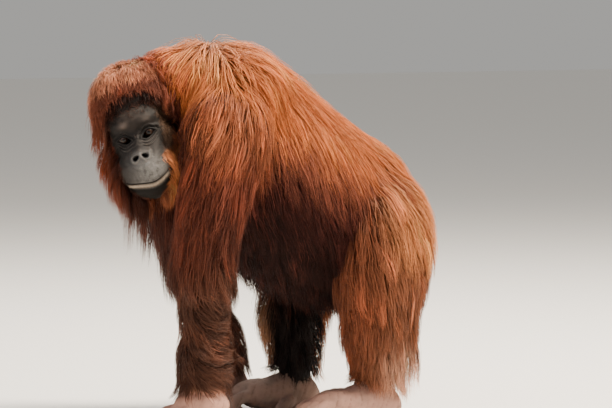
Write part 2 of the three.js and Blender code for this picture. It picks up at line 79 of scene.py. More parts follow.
def head_matrix() -> Matrix:
    """The turn and place of the head's own frame, in millimetres."""
    roll, pitch, yaw = (math.radians(a) for a in HEAD_TURN)
    turn = Matrix.Rotation(yaw, 4, "Z") @ Matrix.Rotation(pitch, 4, "Y") @ Matrix.Rotation(roll, 4, "X")
    return Matrix.Translation(HEAD_CENTRE) @ turn


def frame_shift() -> np.ndarray:
    """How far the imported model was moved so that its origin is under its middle, in millimetres."""
    low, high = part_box("eye_left")
    seen = (np.array(low) + np.array(high)) / 2 / MM
    x, y, z = EYE_CENTRE
    return np.round(seen - np.array(head_matrix() @ Vector((x, LEFT * y, z))), 2)


HEAD = head_matrix()
HEAD_INVERSE = HEAD.inverted()
SHIFT = frame_shift()


def to_head(points: np.ndarray) -> np.ndarray:
    """Places of the body seen in the head's frame."""
    m = np.array(HEAD_INVERSE)
    return points @ m[:3, :3].T + m[:3, 3]


def from_head(points: np.ndarray) -> np.ndarray:
    """Places of the head seen in the body's frame."""
    m = np.array(HEAD)
    return points @ m[:3, :3].T + m[:3, 3]


def from_head_way(ways: np.ndarray) -> np.ndarray:
    """Directions of the head seen in the body's frame."""
    return ways @ np.array(HEAD)[:3, :3].T


def ramp(value: np.ndarray, low: float, high: float) -> np.ndarray:
    """0 below low, 1 above high, and smooth between."""
    t = np.clip((value - low) / (high - low), 0, 1)
    return t * t * (3 - 2 * t)


def hill(value: np.ndarray, middle: float, spread: float) -> np.ndarray:
    """A bell of height 1 about a middle."""
    return np.exp(-(((value - middle) / spread) ** 2))


def unit(ways: np.ndarray) -> np.ndarray:
    """Directions at length 1."""
    return ways / np.maximum(np.linalg.norm(ways, axis=-1, keepdims=True), 1e-9)


def linear(code: str) -> np.ndarray:
    """An sRGB hex colour as linear red, green and blue."""
    c = np.array([int(code[i : i + 2], 16) / 255 for i in (1, 3, 5)])
    return np.where(c <= 0.04045, c / 12.92, ((c + 0.055) / 1.055) ** 2.4)


class Line:
    """A smooth line through rows of numbers, spaced evenly from 0 to 1."""

    def __init__(self, rows: list) -> None:
        """Keeps the rows, with one more at each end that goes on straight."""
        r = np.array(rows, dtype=float)
        self.rows = np.vstack([2 * r[0] - r[1], r, 2 * r[-1] - r[-2]])
        self.count = len(r)

    def at(self, t: np.ndarray) -> np.ndarray:
        """The rows in between, at shares of the way from 0 to 1."""
        s = np.clip(np.asarray(t, dtype=float), 0, 1) * (self.count - 1)
        i = np.minimum(s.astype(int), self.count - 2)
        u = (s - i)[..., None]
        a, b, c, d = (self.rows[i + k] for k in range(4))
        bend = 2 * a - 5 * b + 4 * c - d
        twist = 3 * b - a - 3 * c + d
        return 0.5 * (2 * b + (c - a) * u + bend * u**2 + twist * u**3)


@dataclass
class Form:
    """A ball drawn out along a line of sections, as a limb, the trunk or a part of the face."""

    name: str
    sections: Callable
    blunt: float = 6

    def grid(self, around: int = 40, along: int = 34) -> tuple[np.ndarray, list]:
        """The surface as corners and faces.

        Args:
            around: corners about the form.
            along: rings from end to end.

        Returns:
            The corners in millimetres, and the faces as lists of corner numbers.
        """
        polar = np.linspace(0, math.pi, along + 1)[1:-1]
        travel = 0.5 * (-np.cos(polar) + 2 * polar / math.pi - 1)
        full = np.sqrt(np.maximum(0, 1 - np.abs(travel) ** self.blunt))
        centre, deep, wide = self.sections((travel + 1) / 2)
        turn = np.linspace(0, 2 * math.pi, around, endpoint=False)
        depth = np.cos(turn)[None, :, None] * deep[:, None]
        width = np.sin(turn)[None, :, None] * wide[:, None]
        rings = centre[:, None] + full[:, None, None] * (depth + width)
        ends = self.sections(np.array([0.0, 1.0]))[0]
        corners = np.vstack([rings.reshape(-1, 3), ends])
        count = len(polar)
        faces = []
        for i in range(count - 1):
            for j in range(around):
                k = (j + 1) % around
                faces.append([i * around + j, i * around + k, (i + 1) * around + k, (i + 1) * around + j])
        low, high = count * around, count * around + 1
        for j in range(around):
            k = (j + 1) % around
            faces.append([low, k, j])
            faces.append([high, (count - 1) * around + j, (count - 1) * around + k])
        return corners, faces


def tube(name: str, rows: list, blunt: float = 6, thinner: float = 0.0, head: bool = False) -> Form:
    """A limb: each row is a section's middle, its half depth and its half width along Y.

    Args:
        name: what it is, for the coat.
        rows: the sections.
        blunt: how square its ends are.
        thinner: what is taken off each half size.
        head: whether the rows are in the head's frame.

    Returns:
        The form.
    """
    line = Line(rows)

    def sections(t: np.ndarray) -> tuple:
        """Middle, depth and width of the sections at shares of the way."""
        r = line.at(t)
        way = unit(line.at(np.minimum(t + 0.02, 1))[:, :3] - line.at(np.maximum(t - 0.02, 0))[:, :3])
        side = np.array([0.0, 1.0, 0.0]) - way * way[:, 1:2]
        side = unit(side)
        front = np.cross(side, way)
        deep = front * np.maximum(r[:, 3:4] - thinner, THINNEST)
        wide = side * np.maximum(r[:, 4:5] - thinner, THINNEST)
        if head:
            return from_head(r[:, :3]), from_head_way(deep), from_head_way(wide)
        return r[:, :3], deep, wide

    return Form(name, sections, blunt)


def ribs(name: str, rows: list, blunt: float = 6, thinner: float = 0.0, middle: float = 0.0) -> Form:
    """The trunk and other blocks: each row is a section's top and foot as X and Z, and its half width.

    Args:
        name: what it is, for the coat.
        rows: the sections.
        blunt: how square its ends are.
        thinner: what is taken off each half size.
        middle: its place along Y.

    Returns:
        The form.
    """
    line = Line(rows)

    def sections(t: np.ndarray) -> tuple:
        """Middle, depth and width of the sections at shares of the way."""
        r = line.at(t)
        top = np.stack([r[:, 0], np.full(len(r), middle), r[:, 1]], axis=1)
        foot = np.stack([r[:, 2], np.full(len(r), middle), r[:, 3]], axis=1)
        deep = (top - foot) / 2
        size = np.linalg.norm(deep, axis=1, keepdims=True)
        deep = deep * np.maximum(size - thinner, THINNEST) / size
        none = np.zeros(len(r))
        wide = np.stack([none, np.maximum(r[:, 4] - thinner, THINNEST), none], axis=1)
        return (top + foot) / 2, deep, wide

    return Form(name, sections, blunt)


def egg(name: str, centre: tuple, radii: tuple, head: bool = True) -> Form:
    """An ellipsoid from its centre and half sizes, by default in the head's frame."""
    x, y, z = centre
    rx, ry, rz = radii
    rows = [[x, y, z + share * rz, rx, ry] for share in (-1, 0, 1)]
    return tube(name, rows, blunt=2, head=head)


TRUNK = [
    [-238, 618, -264, 474, 72],
    [-200, 658, -228, 396, 108],
    [-102, 626, -170, 302, 126],
    [-10, 561, -90, 244, 131],
    [74, 505, 0, 208, 130],
    [130, 466, 78, 200, 120],
    [158, 420, 136, 220, 102],
    [176, 370, 166, 276, 72],
]
NECK = [[-200, 0, 560, 70, 72], [-255, -4, 556, 64, 64], [-308, -12, 524, 56, 56]]
LIMBS = {
    "upper_arm_left": [
        [-176, -92, 556, 52, 40],
        [-190, -122, 500, 68, 53],
        [-220, -143, 415, 54, 48],
        [-242, -152, 330, 45, 44],
        [-248, -153, 258, 40, 40],
    ],
    "forearm_left": [
        [-248, -152, 312, 40, 40],
        [-248, -150, 240, 45, 44],
        [-246, -146, 160, 40, 38],
        [-243, -141, WRIST_HEIGHT + 24, 35, 30],
        [-243, -141, WRIST_HEIGHT - 14, 33, 27],
    ],
    "upper_arm_right": [
        [-176, 92, 556, 52, 40],
        [-182, 122, 500, 68, 53],
        [-176, 146, 415, 54, 48],
        [-162, 158, 330, 45, 44],
        [-152, 160, 258, 40, 40],
    ],
    "forearm_right": [
        [-155, 160, 312, 40, 40],
        [-142, 160, 240, 45, 44],
        [-114, 159, 160, 40, 38],
        [-92, 158, WRIST_HEIGHT + 24, 35, 30],
        [-88, 158, WRIST_HEIGHT - 14, 33, 27],
    ],
    "thigh_left": [
        [124, -58, 408, 56, 42],
        [106, -86, 345, 76, 60],
        [96, -105, 275, 78, 60],
        [84, -113, 215, 70, 52],
        [76, -114, 168, 56, 46],
    ],
    "shin_left": [
        [76, -114, 226, 56, 44],
        [84, -112, 165, 60, 45],
        [87, -109, 108, 50, 38],
        [84, -108, ANKLE_HEIGHT, 33, 28],
        [84, -108, ANKLE_HEIGHT - 28, 28, 24],
    ],
    "thigh_right": [
        [120, 58, 408, 56, 42],
        [98, 84, 345, 74, 60],
        [62, 94, 275, 72, 57],
        [18, 96, 215, 58, 48],
        [-1, 95, 168, 44, 40],
    ],
    "shin_right": [
        [4, 95, 226, 44, 38],
        [8, 92, 165, 53, 42],
        [16, 87, 108, 47, 36],
        [16, 84, ANKLE_HEIGHT, 33, 28],
        [16, 84, ANKLE_HEIGHT - 28, 28, 24],
    ],
}
FINGERS = [(-29, 20), (-10, 30), (9.5, 30), (28.5, 24)]  # from the outer digit in: place across, and reach
TOES = [(-28, 22), (-9.5, 34), (9.5, 36), (28, 30)]


def finger_rows(x: float, y: float, across: float, reach: float) -> list:
    """One finger of a half closed hand: out from the knuckle, down, and back under itself."""
    return [
        [x - 24, y + across * 0.92, 33, 10, 8],
        [x - 46, y + across, 35, 10.5, 8.8],
        [x - 50 - reach * 0.5, y + across * 1.06, 27, 10, 8.8],
        [x - 52 - reach * 0.5, y + across * 1.06, 11, 9, 8.4],
        [x - 50, y + across, 7, 7.5, 7],
    ]


def toe_rows(x: float, y: float, across: float, reach: float) -> list:
    """One long toe, curled down from the ball so that its tip lies under it."""
    return [
        [x - 80, y + across * 0.92, 27, 11, 8.6],
        [x - 102, y + across, 30, 11, 9.2],
        [x - 108 - reach * 0.5, y + across * 1.05, 23, 10.5, 9.2],
        [x - 110 - reach * 0.5, y + across * 1.04, 10, 9.5, 8.8],
        [x - 104, y + across, 7, 8, 7.4],
    ]


def hand_forms(name: str) -> list[Form]:
    """The palm, fingers and thumb of one hand."""
    x, y = HAND[name]
    side = SIDES[name]
    palm = [
        [x + 29, 66, x + 27, 10, 20],
        [x + 8, 80, x + 12, -8, 33],
        [x - 20, 64, x - 16, -6, 40],
        [x - 44, 46, x - 40, 3, 37],
    ]
    thumb = [
        [x + 6, y - side * 24, 26, 12, 11],
        [x - 14, y - side * 42, 16, 10, 10],
        [x - 38, y - side * 51, 8, 8, 8],
    ]
    fingers = [tube(f"hand_{name}", finger_rows(x, y, -side * a, r)) for a, r in FINGERS]
    back = egg(f"hand_{name}", (x - 4, y, 44), (47, 41, 32), head=False)
    block = ribs(f"hand_{name}", palm, blunt=5, middle=y)
    return [block, back, *fingers, tube(f"hand_{name}", thumb, blunt=5)]


def foot_forms(name: str) -> list[Form]:
    """The sole, toes and great toe of one foot."""
    x, y = FOOT[name]
    side = SIDES[name]
    sole = [
        [x + 47, 40, x + 47, 10, 17],
        [x + 24, 60, x + 26, -6, 26],
        [x - 20, 66, x - 14, -4, 32],
        [x - 62, 55, x - 58, 4, 37],
        [x - 98, 38, x - 96, 4, 34],
    ]
    great = [
        [x - 12, y - side * 18, 24, 13, 12],
        [x - 32, y - side * 41, 16, 11, 10],
        [x - 56, y - side * 50, 8, 8, 8],
    ]
    toes = [tube(f"foot_{name}", toe_rows(x, y, -side * a, r)) for a, r in TOES]
    instep = egg(f"foot_{name}", (x - 66, y, 34), (50, 36, 24), head=False)
    block = ribs(f"foot_{name}", sole, blunt=5, middle=y)
    return [block, instep, *toes, tube(f"foot_{name}", great, blunt=5)]


def limb_cuffs() -> list[Form]:
    """The wrists and ankles, full where the long hair ends."""
    spare = {"forearm": -3.0, "shin": UNDERCOAT - 3}
    return [
        tube(name, rows[2:], thinner=thinner)
        for part, thinner in spare.items()
        for name, rows in LIMBS.items()
        if part in name
    ]


def body_forms() -> list[Form]:
    """The trunk, neck and limbs under the coat."""
    forms = [ribs("trunk", TRUNK, thinner=UNDERCOAT + 2), tube("neck", NECK, thinner=UNDERCOAT)]
    forms += [egg("trunk", (-152, s * 76, 544), (71, 45, 65), head=False) for s in (LEFT, RIGHT)]
    forms += [tube(name, rows, thinner=UNDERCOAT) for name, rows in LIMBS.items()]
    return forms


def head_forms() -> list[Form]:
    """The skull, face, jaws and ears."""
    forms = [
        egg("head", (18, 0, 33), (68, 63, 65)),
        egg("head", (-38, 0, 12), (37, 45, 26)),
        egg("head", (-62, 0, -36), (36, 37, 30)),
        egg("head", (-42, 0, -18), (33, 47, 46)),
        egg("head", (-72, 0, -62), (45, 48, 40)),
        egg("head", (-62, 0, -92), (43, 40, 27)),
        egg("head", (40, 0, -18), (42, 44, 48)),
        egg("head", (-96, 0, -37), (13, 15, 9)),
    ]
    forms += [egg("head", (-14, s * 33, -48), (41, 27, 47)) for s in (LEFT, RIGHT)]
    forms += [egg("ear", (10, s * 57, 2), (13.5, 9, 20.5)) for s in (LEFT, RIGHT)]
    return forms


def wrap(name: str, forms: list[Form], voxel: float, passes: int) -> bpy.types.Mesh:
    """Joins forms under one even surface.

    Args:
        name: the mesh's name.
        forms: what is joined.
        voxel: the surface's grain in millimetres.
        passes: rounds of smoothing.

    Returns:
        The mesh in millimetres.
    """
    mesh = bpy.data.meshes.new(name)
    corners, faces = [], []
    for form in forms:
        c, f = form.grid()
        start = sum(len(part) for part in corners)
        corners.append(c)
        faces += [[start + k for k in face] for face in f]
    mesh.from_pydata(np.vstack(corners).tolist(), [], faces)
    thing = bpy.data.objects.new(name, mesh)
    bpy.context.collection.objects.link(thing)
    shrink = thing.modifiers.new("wrap", "REMESH")
    shrink.mode = "VOXEL"
    shrink.voxel_size = voxel
    ready = bpy.data.meshes.new_from_object(thing.evaluated_get(bpy.context.evaluated_depsgraph_get()))
    bpy.data.objects.remove(thing)
    bpy.data.meshes.remove(mesh)
    smooth(ready, passes)
    return ready


def corners_of(mesh: bpy.types.Mesh) -> np.ndarray:
    """A mesh's corners as an array."""
    out = np.empty(len(mesh.vertices) * 3)
    mesh.vertices.foreach_get("co", out)
    return out.reshape(-1, 3)


def normals_of(mesh: bpy.types.Mesh) -> np.ndarray:
    """The way out of the surface at a mesh's corners."""
    out = np.empty(len(mesh.vertices) * 3, dtype=np.float32)
    mesh.vertex_normals.foreach_get("vector", out)
    return out.reshape(-1, 3).astype(float)


def set_corners(mesh: bpy.types.Mesh, corners: np.ndarray) -> None:
    """Moves a mesh's corners."""
    mesh.vertices.foreach_set("co", corners.ravel())
    mesh.update()


def edges_of(mesh: bpy.types.Mesh) -> np.ndarray:
    """A mesh's edges as pairs of corner numbers."""
    out = np.empty(len(mesh.edges) * 2, dtype=np.int32)
    mesh.edges.foreach_get("vertices", out)
    return out.reshape(-1, 2)


def spread(values: np.ndarray, edges: np.ndarray, passes: int, share: float = 0.5) -> np.ndarray:
    """Evens out numbers kept at a mesh's corners along its edges."""
    count = np.bincount(edges.ravel(), minlength=len(values)).astype(float)
    count = np.maximum(count, 1)[:, None]
    flat = values.reshape(len(values), -1).astype(float)
    for _ in range(passes):
        total = np.zeros_like(flat)
        for k in range(flat.shape[1]):
            total[:, k] = np.bincount(edges[:, 0], flat[edges[:, 1], k], len(flat))
            total[:, k] += np.bincount(edges[:, 1], flat[edges[:, 0], k], len(flat))
        flat += share * (total / count - flat)
    return flat.reshape(values.shape)


def smooth(mesh: bpy.types.Mesh, passes: int) -> None:
    """Softens a mesh's shape without shrinking it much."""
    edges = edges_of(mesh)
    corners = corners_of(mesh)
    for _ in range(passes):
        corners = spread(corners, edges, 1, 0.55)
        corners = spread(corners, edges, 1, -0.5)
    set_corners(mesh, spread(corners, edges, 2, 0.5))


def refine(mesh: bpy.types.Mesh, chosen: np.ndarray, cuts: int = 1) -> bpy.types.Mesh:
    """Cuts the faces whose corners are all chosen into finer ones."""
    bm = bmesh.new()
    bm.from_mesh(mesh)
    bm.verts.ensure_lookup_table()
    edges = [e for e in bm.edges if chosen[e.verts[0].index] and chosen[e.verts[1].index]]
    bmesh.ops.subdivide_edges(bm, edges=edges, cuts=cuts, use_grid_fill=True)
    bm.to_mesh(mesh)
    bm.free()
    return mesh


def eye_rim(y: np.ndarray, z: np.ndarray) -> tuple[np.ndarray, np.ndarray, np.ndarray]:
    """Where places on the face lie about the nearer eye.

    Args:
        y: places across the head.
        z: places up the head.

    Returns:
        The distance out from the eye's middle towards its outer corner, the height over the middle,
        and how far the place lies outside the opening's edge, negative inside it.
    """
    out = np.abs(y) - EYE_CENTRE[1]
    up = z - EYE_CENTRE[2] - 0.1 * out
    share = np.clip(np.abs(out) / EYE_HALF, 0, 1)
    edge = np.where(up > 0, UPPER_LID, LOWER_LID) * (1 - share**2)
    beyond = np.maximum(np.abs(out) - EYE_HALF, 0)
    inside = (np.abs(up) < edge) & (beyond == 0)
    return out, up, np.hypot(np.abs(up) - edge, beyond) * np.where(inside, -1, 1)


def nostril_share(y: np.ndarray, z: np.ndarray) -> np.ndarray:
    """How far places lie from the nearer nostril's middle, 1 at its comma-shaped edge."""
    side, height = NOSTRIL
    across, above = np.abs(y) - side, z - height
    return np.hypot((across + 0.45 * above) / 4.9, (above - 0.03 * across**2) / 4.1)


def mouth_line(y: np.ndarray) -> np.ndarray:
    """The height of the closed mouth across the face."""
    return MOUTH_HEIGHT + MOUTH_RISE * (y / MOUTH_HALF) ** 2 + 1.5 * np.sin(y / 9)


def face_relief(p: np.ndarray) -> np.ndarray:
    """How far the face's skin stands out of its smooth form.

    Args:
        p: places in the head's frame.

    Returns:
        The rise in millimetres, negative in folds and openings.
    """
    y, z = p[:, 1], p[:, 2]
    out, up, edge = eye_rim(y, z)
    rise = -3.2 * hill(out, -2, 15) * hill(up, 0, 12)
    rise += 1.8 * hill(edge, 1.6, 1.6) - 1.1 * hill(edge, 4.6, 1.2) * (up > 0)
    rise += 1.6 * hill(edge, 7.5, 2.4) * (up > 0)
    for place, high in ((4.2, -0.9), (6.2, 0.9), (8.6, -0.8), (11.2, 0.9), (13.6, -0.6)):
        rise += high * hill(edge, place, 1.1) * ramp(-up, 0, 4) * ramp(-np.abs(out), -15, -8)
    rise -= 10.5 * ramp(-edge, -0.2, 1.0)
    rise += 1.3 * hill(y, 0, 8) * ramp(z, -34, -22) * ramp(-z, -16, -2)
    rise += 3.0 * hill(np.abs(y), 17, 15) * hill(z, 12, 7)
    furrow = np.sin(z / 2.1 + 1.2 * np.sin(y / 9) + 0.5 * np.sin(y / 3.1))
    rise += 0.8 * furrow * ramp(z, 12, 20) * ramp(-np.abs(y), -44, -20)
    hole = nostril_share(y, z)
    rise += 2.0 * hill(hole, 1.5, 0.42) - 9.0 * ramp(-hole, -1.02, -0.6)
    rise += 1.2 * hill(y, 0, 2.4) * hill(z, -38, 6) - 0.9 * hill(y, 0, 2.2) * hill(z, -52, 9)
    rise -= 1.1 * hill(np.hypot(y / 17, (z + 36) / 12), 1.25, 0.16) * ramp(-z, 22, 32)
    mouth = z - mouth_line(y)
    wide = ramp(-np.abs(y), -MOUTH_HALF - 3, -MOUTH_HALF + 3)
    rise += wide * (1.3 * hill(mouth, 4.5, 3.5) + 2.3 * hill(mouth, -4.6, 3.2) - 3.6 * hill(mouth, 0, 1.15))
    corner = np.hypot((np.abs(y) - MOUTH_HALF - 3) / 4, mouth / 7)
    rise -= 1.8 * hill(mouth, -12, 3.4) * wide + 2.2 * hill(corner, 0, 1)
    pleat = np.sin(y * 1.05 + 0.9 * np.sin(z / 7)) * 0.16
    rise += pleat * ramp(-z, 46, 60) * ramp(mouth, 2, 8) * ramp(-np.abs(y), -42, -30)
    rise += 0.4 * np.sin(y * 1.2) * hill(mouth, -6, 5) * wide
    return rise


def ear_relief(p: np.ndarray) -> np.ndarray:
    """How deep the cup of the ear goes in, and how far its rim stands out."""
    ring = np.hypot((p[:, 0] + 1) / 10.5, (p[:, 2] - 2) / 16.5)
    inner = np.hypot((p[:, 0] - 1) / 5.5, (p[:, 2] - 1) / 9)
    fold = 2.2 * hill(inner, 1.05, 0.3) * (p[:, 0] > -1)
    return 1.6 * hill(ring, 1.02, 0.2) - 6.5 * ramp(-ring, -0.92, -0.6) + fold


def crease_relief(p: np.ndarray) -> np.ndarray:
    """The creases that cross the backs of the hands and feet, and how far they go in or out."""
    wander = 2.2 * np.sin(p[:, 1] * 0.11 + 0.8 + 0.03 * p[:, 0]) + 0.9 * np.sin(p[:, 1] * 0.27)
    travel = p[:, 0] - 0.5 * p[:, 2]
    fold = np.sin(travel * 0.52 + 1.3 * np.sin(travel * 0.09) + wander)
    cross = np.sin(p[:, 1] * 0.55 + 1.4 * np.sin(p[:, 0] * 0.13))
    strong = 0.45 + 0.55 * np.sin(travel * 0.13 + 0.08 * p[:, 1]) ** 2
    return strong * (0.22 * fold - 0.7 * ramp(-fold, 0.8, 1.0)) + 0.2 * cross


class Place(Enum):
    """The parts of the body whose coat differs."""

    HEAD = "head"
    NECK = "neck"
    TRUNK = "trunk"
    UPPER_ARM = "upper_arm"
    FOREARM = "forearm"
    THIGH = "thigh"
    SHIN = "shin"
    HAND = "hand"
    FOOT = "foot"
    EAR = "ear"


PLACES = list(Place)
# Heights in the head's frame, and half the width of the bare face there
FACE_EDGE = (
    [-128, -118, -107, -95, -84, -72, -60, -48, -35, -15, 5, 20, 35, 48, 56],
    [0, 8, 19, 32, 42, 44, 42, 38, 41, 45, 44, 41, 35, 24, 0],
)
DARK_BAND = 20.0  # how far the dark short hair reaches past the bare face


def place_of(name: str) -> Place:
    """The kind of place that a form belongs to."""
    return Place(name.replace("_left", "").replace("_right", ""))


def face_share(p: np.ndarray, beyond: float = 0.0) -> np.ndarray:
    """1 on the bare face, 0 on the hairy head, and in between at the hairline.

    Args:
        p: places in the head's frame.
        beyond: how far past the bare skin's edge the share reaches.

    Returns:
        The share of bareness.
    """
    x, y, z = p.T
    lift = np.maximum(beyond, 0) * 0.4 * ramp(z, 10, 60)
    inner = np.interp(z - lift, *FACE_EDGE)
    inner = inner - 9 * ramp(y, 0, 20) * ramp(z, 6, 28)
    half = inner + beyond * ramp(z, -100, -70) * ramp(inner, 0, 18) * (1 - 0.5 * ramp(z, 30, 50))
    ragged = 1.5 * np.sin(z * 0.41) + 1.0 * np.sin(z * 0.93 + y * 0.2)
    reach = ramp(half + ragged - np.abs(y), -3, 5)
    return reach * ramp(-x, 14 - 1.6 * beyond, 24 - 1.6 * beyond)


def shade(base: np.ndarray, colour: str, share: np.ndarray) -> np.ndarray:
    """Mixes a named colour into others by a share at each place."""
    return base + (linear(colour) - base) * np.clip(share, 0, 1)[:, None]


@dataclass(frozen=True)
class FaceTones:
    """The bare face's colours, some of them painted shade and painted highlights."""

    leather: str = "#241f1c"
    forehead: str = "#3d342e"
    far_brow_highlight: str = "#64574f"  # a painted highlight on the far brow ridge
    # a weaker painted highlight on the near brow ridge
    near_brow_highlight: str = "#4d433d"
    # painted shade in the sunken eye sockets under the brow
    socket_shade: str = "#161312"
    lid_folds: str = "#3d3733"
    lid_edge: str = "#121010"
    muzzle: str = "#45413e"
    # the muzzle's own pale grey, lightest on the near side with painted light
    muzzle_pale_and_lit: str = "#75726e"
    muzzle_blotch: str = "#3f3b38"
    muzzle_fleck: str = "#8a8580"
    under_nose: str = "#8b8783"
    muzzle_side: str = "#6a5138"
    nose: str = "#5a5654"
    nostril_rim: str = "#807c78"
    # painted shade: the nostril holes near black
    nostril: str = "#0a0808"
    near_forehead: str = "#1c1714"
    # painted shade on the far side of the face
    far_cheek_shade: str = "#1a1613"
    far_muzzle_shade: str = "#2b2725"
    # painted shade along the bare face's edge, under the hair
    face_edge: str = "#171310"
    # dark hair on the chin, with painted shade under the lower lip
    chin_hair_and_shade: str = "#14110e"
    lower_lip: str = "#948371"
    # painted shade in the crease between the lips
    mouth: str = "#120f0e"


FACE = FaceTones()


def face_colour(p: np.ndarray) -> np.ndarray:
    """The bare face's colour: painted shade round the eyes and on the far side, grey on the muzzle, pale on
    the lower lip.

    Args:
        p: places in the head's frame.

    Returns:
        Linear colours.
    """
    y, z = p[:, 1], p[:, 2]
    out, up, edge = eye_rim(y, z)
    mouth = z - mouth_line(y)
    blotch = np.sin(y * 0.31 + 2 * np.sin(z * 0.17)) * np.sin(z * 0.27 + 1.3 * np.sin(y * 0.21))
    fine = np.sin(y * 0.9 + 1.7 * np.sin(z * 0.5)) * np.sin(z * 0.8 + 1.1 * np.sin(y * 0.7))
    c = np.tile(linear(FACE.leather), (len(p), 1))
    c = shade(c, FACE.forehead, hill(z, 24, 14) * hill(y, 4, 26) * (0.6 + 0.3 * blotch))
    # painted highlights on both brow ridges
    c = shade(c, FACE.far_brow_highlight, hill(y, 15, 7) * hill(z, 14, 4.5) * 0.85)
    c = shade(c, FACE.near_brow_highlight, hill(y, -25, 8) * hill(z, 14, 5) * 0.35)
    # painted shade in the eye sockets
    c = shade(c, FACE.socket_shade, hill(np.hypot(out / 22, up / 15), 0, 1.0))
    c = shade(c, FACE.lid_folds, (hill(edge, 6.2, 1.1) + hill(edge, 11.2, 1.2)) * ramp(-up, 1, 5) * 0.6)
    c = shade(c, FACE.lid_edge, hill(edge, 0.4, 1.1) * 0.8)
    muzzle = ramp(-np.hypot(y / 50, (z + 68) / 42), -1.1, -0.55)
    c = shade(c, FACE.muzzle, muzzle)
    # the muzzle's pale grey, with painted light on its near side
    c = shade(c, FACE.muzzle_pale_and_lit, muzzle * hill(y, -14, 23) * hill(z, -66, 20))
    c = shade(c, FACE.muzzle_blotch, muzzle * ramp(blotch + 0.6 * fine, 0.1, 1.1) * 0.6)
    c = shade(c, FACE.muzzle_fleck, muzzle * ramp(-blotch + 0.7 * fine, 0.5, 1.2) * hill(y, -14, 24) * 0.5)
    c = shade(c, FACE.under_nose, hill(np.hypot(y / 13, (z + 50) / 6), 0, 1.0) * 0.4)
    c = shade(c, FACE.muzzle_side, ramp(np.abs(y), 33, 45) * muzzle * 0.5)
    c = shade(c, FACE.nose, hill(np.hypot(y / 15, (z + 38) / 10), 0, 0.9) * 0.8)
    hole = nostril_share(y, z)
    c = shade(c, FACE.nostril_rim, hill(hole, 1.5, 0.3) * 0.35)
    # painted shade in the nostril holes
    c = shade(c, FACE.nostril, ramp(-hole, -1.12, -0.88))
    c = shade(c, FACE.near_forehead, ramp(-y, 16, 32) * ramp(z, 20, 36))
    # painted shade on the far cheek and the far side of the muzzle
    c = shade(c, FACE.far_cheek_shade, ramp(y, 22, 38) * ramp(z, -52, -36) * 0.9)
    c = shade(c, FACE.far_muzzle_shade, ramp(y, 14, 36) * muzzle * 0.8)
    # painted shade along the bare face's edge, under the hair
    c = shade(c, FACE.face_edge, (1 - face_share(p, -9.0)) * ramp(z, -58, -40))
    # dark hair on the chin, with painted shade under the lower lip
    c = shade(c, FACE.chin_hair_and_shade, ramp(-mouth, 7, 13))
    c = shade(c, FACE.lower_lip, hill(mouth, -4.4, 2.8) * ramp(-np.abs(y), -40, -30))
    # painted shade in the crease between the lips
    c = shade(c, FACE.mouth, hill(mouth, 0, 0.9) * ramp(-np.abs(y), -42, -36))
    return c


@dataclass(frozen=True)
class CoatTones:
    """The coat's colours, from its roots' places, some of them painted light and shade."""

    back: str = "#bf6c3c"
    hind_back: str = "#c06a30"
    # lighter along the top of the back and hump: painted light from above
    ridge: str = "#c56e38"
    # painted light on the rump, which faces the light
    rump: str = "#e29c68"
    rump_hem: str = "#7c4429"
    parting_sheen: str = "#e3c0a0"  # a painted sheen highlight where the hair parts on the hump
    # painted shade behind the shoulder, running into the arm's
    behind_shoulder_shade: str = "#87492f"
    # darker down the flank to the belly: the belly's dark thin hair and painted shade under the body
    flank: str = "#7a4433"
    low_flank_shade: str = "#3a1a15"
    belly: str = "#26120e"
    # darker on the chest front: its darker hair and painted shade under the head
    chest: str = "#4a2419"
    # the arm darkens step by step downward: its own darker hair and painted shade, since it faces away from
    # the light
    shoulder: str = "#9c5a3a"
    upper_arm: str = "#6f3828"
    elbow: str = "#522b20"
    # painted shade on the front of the shoulder
    shoulder_front_shade: str = "#5d2e1f"
    forearm: str = "#4c2f23"
    # painted shade on the arms' inner sides, towards the body
    inner_arm: str = "#3a1a12"
    thigh: str = "#7b4b34"
    shank: str = "#c8967c"
    # painted light on the top of the haunch, carried on from the rump
    haunch_lit: str = "#c07a4c"
    leg_front: str = "#6b3a26"
    # painted shade on the legs' inner sides, between them
    inner_leg_shade: str = "#331811"
    far_leg: str = "#150a07"  # in the body's own shade
    far_fringe_front: str = "#c78d68"
    far_fringe_rear: str = "#c06a34"
    # the head's hair, pale salmon, partly painted light from above on the crown
    crown: str = "#d08c69"
    fore_crown: str = "#a2593f"
    hairline: str = "#6d3728"
    head_side: str = "#8a4c34"
    # painted shade on the far side of the head
    far_head_side: str = "#7c3e28"
    near_temple: str = "#c9764c"
    face_band: str = "#1f1612"  # short dark hair round the face, with painted shade where it reaches wider on the far side
    near_face_band: str = "#5c4433"
    brow_band: str = "#24130e"
    jaw: str = "#3b1c12"
    beard: str = "#8d5034"
    near_cheek: str = "#e08a56"
    # painted shade on the far side's whiskers
    far_whiskers_shade: str = "#7c3d27"
    neck: str = "#9a4e31"
    # painted shade on the lower neck, under the head
    low_neck: str = "#603227"


COAT = CoatTones()


